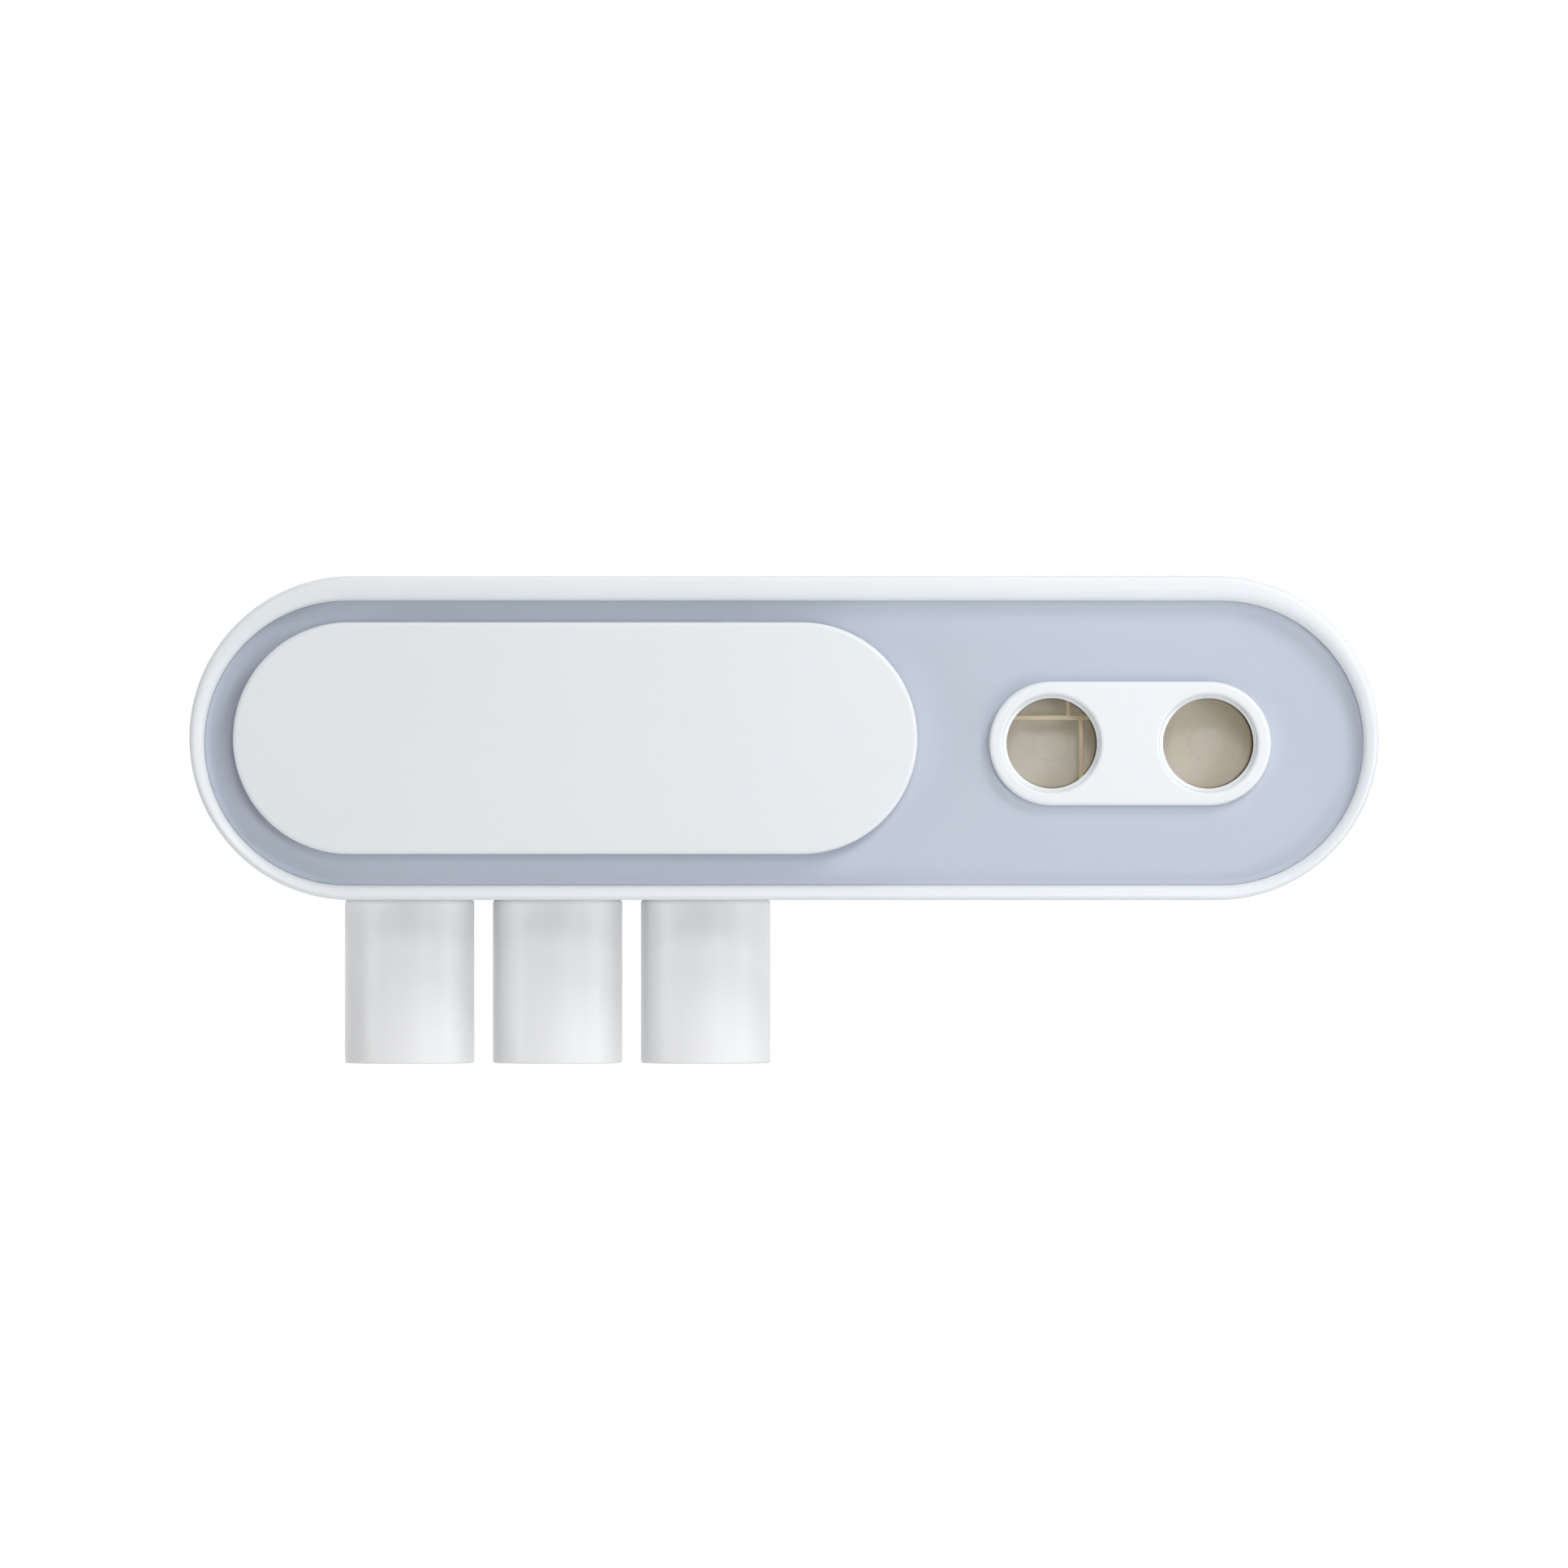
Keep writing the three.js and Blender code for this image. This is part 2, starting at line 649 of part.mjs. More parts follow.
function brushBay() {
  const wide = bayWall * 2;
  const flangeLength = coverLength - 2 * bayFlangeInset;
  const flangeHeight = coverHeight - 2 * bayFlangeInset;
  const flangeBack = bayFront - bayFlangeThickness;
  const outerSlot = stadiumShape(slotLength + 2 * slotWall, slotWidth + 2 * slotWall);
  const innerSlot = stadiumShape(slotLength, slotWidth);
  const floor = -bayHeight / 2;
  const slotEnd = bottom + fit;
  const joined = [
    stadiumPrism(bayLength + wide, bayHeight + wide, slotBack - bayWall, bayFront).translate(coverX, 0, 0),
    stadiumPrism(flangeLength, flangeHeight, flangeBack, bayFront).translate(coverX, 0, 0),
    slab(outerSlot, floor, floor - slotEnd).translate(coverX, 0, slotZ),
  ];
  const magnetFront = bayFront - catchBossWall;
  const magnetBack = magnetFront - catchMagnetLength - 2 * fit;
  const pocketRadius = catchMagnetRadius + fit;
  for (const [x, y] of catchPlaces()) {
    joined.push(barAlongZ(pocketRadius + catchBossWall, magnetBack, bayFront, x, y, smallSides * 2));
  }
  for (const x of hingePlaces) {
    joined.push(...hingeEar(x));
  }
  const taken = [
    stadiumPrism(bayLength, bayHeight, slotBack, bayFront + overrun).translate(coverX, 0, 0),
    slab(innerSlot, floor + overrun, floor - slotEnd + 2 * overrun).translate(coverX, 0, slotZ),
  ];
  for (const [x, y] of catchPlaces()) {
    taken.push(barAlongZ(pocketRadius, magnetBack - overrun, magnetFront, x, y, smallSides * 2));
  }
  for (const [x, y] of bayScrewPlaces()) {
    taken.push(barAlongZ(screwHeadRadius + fit, flangeBack - overrun, bayFront + overrun, x, y, smallSides));
  }
  for (const x of hingePlaces) {
    const bore = hingePinRadius + hingeBoreGap;
    taken.push(barAlongX(bore, x - hingeEarWidth, x + hingeEarWidth, hingeY, hingeZ));
  }
  for (const x of combScrewPlaces) {
    const hole = screwRadius + screwGap;
    const back = slotBack - bayWall - overrun;
    taken.push(barAlongZ(hole, back, slotBack + overrun, x, combScrewLevel, smallSides));
  }
  return carve(joined, taken);
}

// A shelf with a row of slots open to the front, and an upstand along its back.
function brushComb() {
  const half = ((brushCount - 1) / 2) * brushPitch + combEnd;
  const slotEnd = combFront - brushSlotDepth + brushSlot / 2;
  const shape = new THREE.Shape();
  shape.moveTo(-half, combBack);
  shape.lineTo(half, combBack);
  shape.lineTo(half, combFront);
  for (const x of [...brushPlaces].reverse()) {
    shape.lineTo(x + brushSlot / 2, combFront);
    shape.absarc(x, slotEnd, brushSlot / 2, 0, -Math.PI, true);
    shape.lineTo(x - brushSlot / 2, combFront);
  }
  shape.lineTo(-half, combFront);
  const upstandTop = combLevel + combUpstand;
  const joined = [
    slab(shape, combLevel, combThickness, 5).translate(coverX, 0, 0),
    block(
      coverX - half,
      coverX + half,
      combLevel - combThickness / 2,
      upstandTop,
      combBack,
      combBack + combThickness,
    ),
  ];
  const hole = screwRadius + screwGap;
  const taken = combScrewPlaces.map((x) =>
    barAlongZ(hole, combBack - overrun, combBack + combThickness + overrun, x, combScrewLevel, smallSides),
  );
  return carve(joined, taken);
}

// A shallow shell with a rounded front edge, hinge knuckles and catch bosses inside.
function dustCover() {
  const round = quarterRound(coverEdgeRadius, coverFront - coverEdgeRadius, coverEdgeRadius, 180, 90);
  const outer = sweepStadium(coverLength, coverHeight, [[0, coverBack], ...round], false);
  const inside = coverFront - coverWall;
  const shell = 2 * coverWall;
  const hollow = stadiumPrism(coverLength - shell, coverHeight - shell, coverBack - overrun, inside);
  let solid = toSolid(outer).subtract(toSolid(hollow));
  const plateRoom = catchPlateThickness + 2 * fit;
  for (const [x, y] of catchPlaces()) {
    const radius = catchPlateRadius + catchPlateBossWall;
    const back = coverBack + plateRoom;
    solid = solid.add(toSolid(barAlongZ(radius, back, inside + overrun, x - coverX, y, smallSides * 2)));
  }
  for (const place of hingePlaces) {
    const x = place - coverX;
    const notch = hingeEarWidth / 2 + runningGap;
    for (const side of [-1, 1]) {
      const near = x + side * notch;
      const far = x + side * (notch + knuckleWidth);
      const left = Math.min(near, far);
      const right = Math.max(near, far);
      const top = coverHeight / 2 - coverWall / 2;
      const knuckle = block(left, right, hingeY - earRadius, top, hingeZ, inside + overrun);
      solid = solid.add(toSolid(barAlongX(earRadius, left, right, hingeY, hingeZ)));
      solid = solid.add(toSolid(knuckle));
    }
    const low = hingeY - earRadius - overrun;
    const gap = block(x - notch, x + notch, low, coverHeight, coverBack - overrun, inside);
    const reach = notch + knuckleWidth + overrun;
    const bore = barAlongX(hingePinRadius + hingeBoreGap, x - reach, x + reach, hingeY, hingeZ);
    solid = solid.subtract(toSolid(gap)).subtract(toSolid(bore));
  }
  return toGeometry(solid);
}

function hingePin() {
  const length = hingeEarWidth + 2 * (runningGap + knuckleWidth);
  return barAlongX(hingePinRadius, -length / 2, length / 2, 0, 0);
}

function disc(radius, thickness, count) {
  return new THREE.CylinderGeometry(radius, radius, thickness, count);
}

// Cups and their magnets

// A cup upside down: its base at the top, y = 0, with a round recess for the steel disc.
function cup() {
  const radius = cupDiameter / 2;
  const recess = cupDiscRadius + fit;
  const recessDepth = cupDiscThickness + 2 * fit;
  const inside = radius - cupWall;
  const lip = cupWall / 2;
  return turned(
    [
      [0, -cupBase],
      [inside - cupEdgeRadius, -cupBase],
      [inside, -cupBase - cupEdgeRadius],
      [inside, lip - cupHeight],
      [inside + lip / 2, -cupHeight],
      [radius - lip / 2, -cupHeight],
      [radius, lip - cupHeight],
      ...quarterRound(radius - cupEdgeRadius, -cupEdgeRadius, cupEdgeRadius, 0, 90),
      [recess, 0],
      [recess, -recessDepth],
      [0, -recessDepth],
    ],
    roundSides,
  );
}

// A strip on the housing's floor with a pocket for each magnet and holes for its two bosses.
function magnetCarrier() {
  const width = 2 * (cupMagnetRadius + carrierMargin);
  const length = (cupCount - 1) * cupPitch + width;
  const top = carrierBottom + carrierThickness;
  const strip = slab(stadiumShape(length, width), top, carrierThickness).translate(cupsX, 0, cupZ);
  const pocketTop = carrierBottom + cupMagnetThickness + fit;
  const taken = cupPlaces.map((x) =>
    barUpright(cupMagnetRadius + fit, carrierBottom - overrun, pocketTop, x, cupZ, smallSides * 2),
  );
  const bossHole = screwHeadRadius + fit;
  for (const x of carrierScrewPlaces) {
    taken.push(barUpright(bossHole, carrierBottom - overrun, top + overrun, x, cupZ, smallSides));
  }
  return carve([strip], taken);
}

// Squeezer

function squeezerBezel() {
  const round = quarterRound(bezelEdgeRadius, bezelFront - bezelEdgeRadius, bezelEdgeRadius, 180, 90);
  const plate = sweepStadium(bezelLength, bezelHeight, [[0, bezelBack], ...round], false);
  const taken = [];
  const lip = bezelEdgeRadius;
  for (const x of portPlaces) {
    const port = turnedAboutZ([
      [0, bezelBack - overrun],
      [portRadius, bezelBack - overrun],
      ...quarterRound(portRadius + lip, bezelFront - lip, lip, 180, 90),
      [portRadius + lip, bezelFront + overrun],
      [0, bezelFront + overrun],
    ]);
    taken.push(port.translate(x, squeezerY, 0));
  }
  const hole = screwRadius + screwGap;
  const holeEnd = squeezerScrewSeat + squeezerScrewLength + fit;
  for (const [x, y] of squeezerScrewPlaces) {
    taken.push(barAlongZ(hole, bezelBack - overrun, holeEnd, x, y, smallSides));
  }
  return carve([plate.translate(squeezerX, squeezerY, 0)], taken);
}

// The funnel that leads from a port into its barrel.
function portFunnel() {
  return turnedAboutZ([
    [0, barrelFront - overrun],
    [throatRadius, barrelFront - overrun],
    [throatRadius, barrelFront],
    [portRadius - fit, sleeveFront],
    [portRadius - fit, sleeveFront + overrun],
    [0, sleeveFront + overrun],
  ]);
}

// Two barrels on a common flange, each with a sleeve up to the bezel and an inlet boss on top,
// and a bar across the left one.
function squeezerBody() {
  const flangeLength = portSpacing + 2 * barrelRadius;
  const flangeBackZ = barrelFront - barrelFlangeThickness;
  const ribFront = flangeBackZ + overrun;
  const ribHalf = ribThickness / 2;
  const [leftX, rightX] = portPlaces;
  const joined = [
    stadiumPrism(flangeLength, 2 * barrelRadius, flangeBackZ, barrelFront).translate(squeezerX, squeezerY, 0),
    block(leftX, rightX, squeezerY - ribHalf, squeezerY + ribHalf, barrelBack, ribFront),
  ];
  const taken = [];
  const hole = screwRadius + screwGap;
  for (const [x, y] of backScrewPlaces) {
    const low = Math.min(y, squeezerY);
    const high = Math.max(y, squeezerY);
    joined.push(barAlongZ(postRadius, barrelBack, ribFront, x, y, smallSides));
    joined.push(block(x - ribHalf, x + ribHalf, low, high, barrelBack, ribFront));
    taken.push(barAlongZ(hole, barrelBack - overrun, barrelBack + backScrewLength, x, y, smallSides));
  }
  const pocketRadius = collarRadius + fit;
  const pocketLow = squeezerY + pocketFloor;
  const inletLow = squeezerY + boreRadius;
  for (const x of portPlaces) {
    joined.push(barAlongZ(barrelRadius, barrelBack, ribFront, x, squeezerY));
    joined.push(barAlongZ(sleeveRadius, barrelFront - overrun, sleeveFront, x, squeezerY));
    joined.push(barUpright(pocketRadius + inletWall, inletLow, inletTop, x, wellZ, smallSides * 2));
    taken.push(barAlongZ(boreRadius, barrelBack - overrun, barrelFront, x, squeezerY));
    taken.push(portFunnel().translate(x, squeezerY, 0));
    taken.push(barAlongZ(rearBoreRadius, barrelBack - overrun, stopZ, x, squeezerY));
    taken.push(barUpright(pocketRadius, pocketLow, inletTop + overrun, x, wellZ, smallSides * 2));
    taken.push(barUpright(valveRadius + fit, squeezerY, pocketLow + overrun, x, wellZ, smallSides));
  }
  for (const [x, y] of squeezerScrewPlaces) {
    taken.push(barAlongZ(hole, flangeBackZ - overrun, barrelFront + overrun, x, y, smallSides));
  }
  let solid = toSolid(carve(joined, taken));
  for (const rib of leftBarrelRibs()) {
    solid = solid.add(rib);
  }
  return toGeometry(solid);
}

// The bar across the left barrel in front of the inlet, its short post and the rib below it.
function leftBarrelRibs() {
  const [x] = portPlaces;
  const back = wellZ + valveRadius + 2 * fit;
  const front = back + barDepth;
  const low = squeezerY + barRise;
  const high = low + barHeight;
  const postX = x + barPostShift;
  const legX = x + barLegShift;
  const round = toSolid(barAlongZ(boreRadius + barrelWall / 2, back, front, x, squeezerY));
  const pieces = [
    block(x - barrelRadius, x + barrelRadius, low, high, back, front),
    block(postX - barPostWidth / 2, postX + barPostWidth / 2, low, low + barrelRadius, back, front),
    block(legX - barLegWidth / 2, legX + barLegWidth / 2, squeezerY - barrelRadius, high, back, front),
  ];
  return pieces.map((piece) => toSolid(piece).intersect(round));
}

function squeezerBack() {
  const front = barrelBack - fit;
  const length = portSpacing + 2 * barrelRadius;
  const plate = stadiumPrism(length, 2 * barrelRadius, front - backThickness, front);
  const taken = backScrewPlaces.map(([x, y]) =>
    barAlongZ(screwRadius + screwGap, front - backThickness - overrun, front + overrun, x, y, smallSides),
  );
  return carve([plate.translate(squeezerX, squeezerY, 0)], taken);
}

// A hollow piston with a dished face, a skirt and a flange that stops it. z = 0 at its face.
function plunger() {
  const inside = plungerRadius - plungerWall;
  return turnedAboutZ([
    [0, -plungerWall - plungerDish],
    [inside, -plungerWall - plungerDish],
    [inside, -plungerSkirt],
    [flangeRadius, -plungerSkirt],
    [flangeRadius, plungerWall - plungerSkirt],
    [plungerRadius, plungerWall - plungerSkirt],
    [plungerRadius, -plungerChamfer],
    [plungerRadius - plungerChamfer, 0],
    [plungerRadius - plungerRim, 0],
    [plungerDishRadius + plungerDishEdge, plungerDishSlope - plungerDish],
    [plungerDishRadius, -plungerDish],
    [0, -plungerDish],
  ]);
}

// The room between the squeezer's back plate and the plunger, for the spring and the bellows.
const roomBack = barrelBack;
const roomFront = faceZ - plungerWall - plungerDish - fit;

// One unbroken helix of round wire along z, with its two end faces closed.
function returnSpring() {
  const stepsPerTurn = 8;
  const wireSides = 5;
  const steps = springTurns * stepsPerTurn;
  const low = roomBack + springWire;
  const rise = roomFront - springWire - low;
  const centres = [];
  const vertices = [];
  for (let i = 0; i <= steps; i++) {
    const turn = (2 * Math.PI * i) / stepsPerTurn;
    const z = low + (rise * i) / steps;
    centres.push(new THREE.Vector3(springRadius * Math.cos(turn), springRadius * Math.sin(turn), z));
    for (let k = 0; k < wireSides; k++) {
      const around = (2 * Math.PI * k) / wireSides;
      const radius = springRadius + springWire * Math.cos(around);
      vertices.push(radius * Math.cos(turn), radius * Math.sin(turn), z + springWire * Math.sin(around));
    }
  }
  const faces = [];
  for (let i = 0; i < steps; i++) {
    for (let k = 0; k < wireSides; k++) {
      const a = i * wireSides + k;
      const b = i * wireSides + ((k + 1) % wireSides);
      faces.push(a, a + wireSides, b, b, a + wireSides, b + wireSides);
    }
  }
  const last = steps * wireSides;
  for (let k = 1; k < wireSides - 1; k++) {
    faces.push(0, k, k + 1, last, last + k + 1, last + k);
  }
  const geometry = new THREE.BufferGeometry();
  geometry.setAttribute("position", new THREE.Float32BufferAttribute(vertices, 3));
  geometry.setIndex(faces);
  return { geometry, gap: leastGap(centres, stepsPerTurn) };
}

// The least gap between a wire and itself, from points on its middle at least half a turn apart.
function leastGap(centres, stepsPerTurn) {
  let least = Infinity;
  centres.forEach((point, i) => {
    for (let j = i + stepsPerTurn / 2; j < centres.length; j++) {
      least = Math.min(least, point.distanceTo(centres[j]));
    }
  });
  return least - 2 * springWire;
}

// A folded silicone tube along z, open at both ends.
function pumpBellows() {
  const length = roomFront - roomBack - 2 * fit;
  const start = roomBack + fit;
  const outside = [];
  for (let i = 0; i <= 2 * bellowsFolds; i++) {
    const radius = bellowsRadius - (i % 2 ? 0 : bellowsFold);
    outside.push([radius, start + (length * i) / (2 * bellowsFolds)]);
  }
  const inside = [...outside].reverse().map(([radius, z]) => [radius - bellowsWall, z]);
  return turnedAboutZ([...outside, ...inside, outside[0]], smallSides);
}

// Toothpaste inlets

// What stands out over the housing's right round end, between two depths.
function outsideRoundEnd(back, front) {
  const corner = block((bodyLength - bodyHeight) / 2, bodyLength / 2, 0, deckTop + overrun, back, front);
  const roundEnd = stadiumPrism(bodyLength + fit, bodyHeight + fit, back - overrun, front + overrun);
  return carve([corner], [roundEnd]);
}

// A plate let into the top of the housing, with two wells that hang from it, trimmed at its
// right end to the housing's curve.
function tubeDeck() {
  const plate = slab(stadiumShape(portSpacing + deckWidth, deckWidth), deckTop, deckThickness);
  const joined = [plate.translate(squeezerX, 0, wellZ)];
  const taken = [outsideRoundEnd(wellZ - deckWidth, wellZ + deckWidth)];
  const inside = wellRadius - wellWall;
  for (const x of portPlaces) {
    joined.push(barUpright(wellRadius, wellFloorTop - wellFloor, deckTop - deckThickness / 2, x, wellZ));
    taken.push(barUpright(inside, wellFloorTop, deckTop + overrun, x, wellZ));
    const neckLow = wellFloorTop - wellFloor - overrun;
    taken.push(barUpright(collarRadius + fit, neckLow, wellFloorTop + overrun, x, wellZ, smallSides * 2));
  }
  return carve(joined, taken);
}

// A silicone bush between a well's floor and the squeezer body, y from the housing's centre.
function inletCollar() {
  const low = squeezerY + pocketFloor + valveFlangeThickness + 2 * fit;
  const seat = wellFloorTop + fit;
  return turned(
    [
      [collarBore, low],
      [collarRadius, low],
      [collarRadius, seat],
      [collarFlangeRadius, seat],
      [collarFlangeRadius, seat + collarFlangeThickness],
      [collarBore + collarChamfer, seat + collarFlangeThickness],
      [collarBore, seat + collarFlangeThickness - collarChamfer],
      [collarBore, low],
    ],
    smallSides * 2,
  );
}

// A silicone nozzle valve with a flange, clamped under the collar.
function inletValve() {
  const seat = squeezerY + pocketFloor + fit;
  const tip = squeezerY + boreRadius - valveReach;
  const flange = seat + valveFlangeThickness;
  return turned(
    [
      [valveBore, tip],
      [valveTipRadius, tip],
      [valveRadius, tip + valveTaper],
      [valveRadius, seat],
      [collarRadius, seat],
      [collarRadius, flange],
      [valveBore, flange],
      [valveBore, tip],
    ],
    smallSides,
  );
}

// A screw along z with its head's underside at 0 and its tip at +length.
function screw(length) {
  return turnedAboutZ(
    [
      [0, -screwHeadHeight],
      [screwHeadTop, -screwHeadHeight],
      [screwHeadRadius, -screwHeadRim],
      [screwHeadRadius, 0],
      [screwRadius, 0],
      [screwRadius, length - screwRadius],
      [0, length],
    ],
    screwSides,
  );
}

// Materials
const white = () => new THREE.MeshStandardMaterial({ color: 0xeef1f3, roughness: 0.35, metalness: 0 });
const paleBlue = () => new THREE.MeshStandardMaterial({ color: 0xc8cfdc, roughness: 0.5, metalness: 0 });
const cream = () => new THREE.MeshStandardMaterial({ color: 0xd9cfb8, roughness: 0.45, metalness: 0 });
const silicone = () => new THREE.MeshStandardMaterial({ color: 0xd5d8da, roughness: 0.7, metalness: 0 });
const steel = () => new THREE.MeshStandardMaterial({ color: 0xb4b7ba, roughness: 0.3, metalness: 1 });
const magnetGrey = () => new THREE.MeshStandardMaterial({ color: 0x8b8e92, roughness: 0.35, metalness: 0.9 });
const foam = () => new THREE.MeshStandardMaterial({ color: 0xe2e2de, roughness: 0.9, metalness: 0 });

// The assembly
const rack = new THREE.Group();
rack.rotation.x = Math.PI / 2;

function place(name, geometry, material, x = 0, y = 0, z = 0) {
  const mesh = new THREE.Mesh(geometry, material);
  mesh.name = name;
  mesh.position.set(x, y, z);
  rack.add(mesh);
  return mesh;
}

// A row of screws that point out of the wall, with their heads at a depth.
function placeScrews(name, length, places, seat) {
  places.forEach(([x, y], i) => place(name + "_" + (i + 1), screw(length), steel(), x, y, seat));
}

place("adhesive_sheet", adhesiveSheet(), foam());
place("wall_plate", wallPlate(), white());
place("housing", housing(), white());
place("rear_cover", rearCover(), white());
placeScrews("rear_screw", rearScrewLength, rearScrewPlaces(), rearCoverBack - fit);
place("face_panel", facePanel(), paleBlue());

place("brush_bay", brushBay(), white());
placeScrews("bay_screw", shortScrewLength, bayScrewPlaces(), bayFront - bayFlangeThickness - fit);
place("brush_comb", brushComb(), white());
combScrewPlaces.forEach((x, i) => {
  const seat = combBack + combThickness + fit;
  const mesh = place("comb_screw_" + (i + 1), screw(combScrewLength), steel(), x, combScrewLevel, seat);
  mesh.rotation.y = Math.PI;
});

place("dust_cover", dustCover(), white(), coverX, 0, 0);
sideNames.forEach((side, i) => {
  const [catchX, catchY] = catchPlaces()[i];
  const magnetZ = bayFront - catchBossWall - fit - catchMagnetLength / 2;
  const plateZ = coverBack + fit + catchPlateThickness / 2;
  const round = smallSides * 2;
  place("hinge_pin_" + side, hingePin(), steel(), hingePlaces[i], hingeY, hingeZ);
  const magnet = disc(catchMagnetRadius, catchMagnetLength, round).rotateX(Math.PI / 2);
  const plate = disc(catchPlateRadius, catchPlateThickness, round).rotateX(Math.PI / 2);
  place("catch_magnet_" + side, magnet, magnetGrey(), catchX, catchY, magnetZ);
  place("catch_plate_" + side, plate, steel(), catchX, catchY, plateZ);
});

place("magnet_carrier", magnetCarrier(), white());
cupPlaces.forEach((x, i) => {
  const number = "_" + (i + 1);
  const top = bottom - fit;
  const round = smallSides * 2;
  const magnetY = carrierBottom + cupMagnetThickness / 2;
  const discY = top - fit - cupDiscThickness / 2;
  place("cup" + number, cup(), white(), x, top, cupZ);
  place("cup_disc" + number, disc(cupDiscRadius, cupDiscThickness, round), steel(), x, discY, cupZ);
  const magnet = disc(cupMagnetRadius, cupMagnetThickness, round);
  place("cup_magnet" + number, magnet, magnetGrey(), x, magnetY, cupZ);
});
carrierScrewPlaces.forEach((x, i) => {
  const seat = carrierBottom + carrierThickness + fit;
  const mesh = place("carrier_screw_" + (i + 1), screw(carrierScrewLength - fit), steel(), x, seat, cupZ);
  mesh.rotation.x = Math.PI / 2;
});

place("squeezer_bezel", squeezerBezel(), white());
place("squeezer_body", squeezerBody(), cream());
place("squeezer_back", squeezerBack(), cream());
placeScrews("squeezer_screw", squeezerScrewLength, squeezerScrewPlaces, squeezerScrewSeat);
placeScrews("back_screw", backScrewLength, backScrewPlaces, barrelBack - backThickness - 2 * fit);
place("tube_deck", tubeDeck(), white());
sideNames.forEach((side, i) => {
  const x = portPlaces[i];
  const spring = returnSpring();
  console.log("return_spring_" + side + " least gap to itself " + spring.gap.toFixed(2) + " mm");
  place("plunger_" + side, plunger(), cream(), x, squeezerY, faceZ);
  place("return_spring_" + side, spring.geometry, steel(), x, squeezerY, 0);
  place("pump_bellows_" + side, pumpBellows(), silicone(), x, squeezerY, 0);
  place("inlet_collar_" + side, inletCollar(), silicone(), x, 0, wellZ);
  place("inlet_valve_" + side, inletValve(), silicone(), x, 0, wellZ);
});

const part = new THREE.Group();
part.add(rack);

export default part;
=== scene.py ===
import json
import math

import bmesh
import bpy
from bmesh.types import BMEdge, BMVert
from mathutils import Matrix, Vector

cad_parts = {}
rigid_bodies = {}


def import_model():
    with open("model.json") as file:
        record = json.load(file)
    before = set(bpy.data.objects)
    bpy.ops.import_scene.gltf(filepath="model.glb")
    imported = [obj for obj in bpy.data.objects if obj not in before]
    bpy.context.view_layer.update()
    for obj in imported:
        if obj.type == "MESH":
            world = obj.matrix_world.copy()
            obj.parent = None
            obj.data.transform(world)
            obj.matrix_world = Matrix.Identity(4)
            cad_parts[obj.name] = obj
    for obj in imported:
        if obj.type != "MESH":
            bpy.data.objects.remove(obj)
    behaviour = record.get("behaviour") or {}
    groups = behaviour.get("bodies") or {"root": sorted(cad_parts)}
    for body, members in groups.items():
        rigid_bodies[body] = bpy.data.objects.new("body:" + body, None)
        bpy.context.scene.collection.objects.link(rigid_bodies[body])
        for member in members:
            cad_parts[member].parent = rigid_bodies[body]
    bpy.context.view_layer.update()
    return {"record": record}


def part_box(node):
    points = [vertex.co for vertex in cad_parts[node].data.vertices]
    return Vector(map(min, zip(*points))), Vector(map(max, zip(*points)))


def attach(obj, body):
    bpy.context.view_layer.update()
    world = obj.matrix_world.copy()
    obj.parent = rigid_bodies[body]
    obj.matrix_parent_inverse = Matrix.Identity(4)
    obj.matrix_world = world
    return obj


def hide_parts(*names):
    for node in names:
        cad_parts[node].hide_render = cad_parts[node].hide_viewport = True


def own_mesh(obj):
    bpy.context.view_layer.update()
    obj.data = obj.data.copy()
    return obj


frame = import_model()
record = frame["record"]
slotOf = {row["node"]: row["material_slot"] for row in record["subparts"]}
bodyOf = {node: body for body, nodes in record["behaviour"]["bodies"].items() for node in nodes}
mm = 0.001
print("frame loaded:", len(slotOf), "nodes")

# how finely round things are cut
endSteps, seatSteps, slotSteps = 64, 32, 24  # each round end of a stadium, of a seat, of the handle slot
roundSteps, wellSteps, inletSteps, smallSteps = 96, 64, 48, 40  # a full turn, from large to small
cornerSteps = 5  # a rounded corner
sharpAngle = 36  # edges steeper than this stay crisp
overrun = 1 * mm  # how far a cut runs past the face it opens
hair = 0.01 * mm  # how far a rolled edge ends off its face
fit = 0.3 * mm  # room round a piece that seats in another
screwHole = 1.5 * mm
tinyRound, fineRound, edgeRound = 0.15 * mm, 0.2 * mm, 0.3 * mm  # usual roundings of moulded edges
softRound, fullRound = 0.5 * mm, 0.8 * mm

sideNames = ("left", "right")
cupCount = 3
screwCounts = {"rear": 6, "bay": 4, "squeezer": 4, "back": 2, "comb": 2, "carrier": 2}


# helpers: places and sizes

def boxOf(node):
    low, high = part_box(node)
    return low, high, (low + high) / 2


def radiusOf(node):
    low, high, mid = boxOf(node)
    return (high.x - low.x) / 2


def numbered(stem, count):
    return [stem + "_" + str(i + 1) for i in range(count)]


def screwsOf(stem):
    return numbered(stem + "_screw", screwCounts[stem])


def sizesInMm(**sizes):
    # a piece's lengths, stated in millimetres and kept in metres
    return {name: size * mm for name, size in sizes.items()}


def pick(geom, kind):
    return [part for part in geom if isinstance(part, kind)]


# helpers: forms, each a bmesh of one closed shell

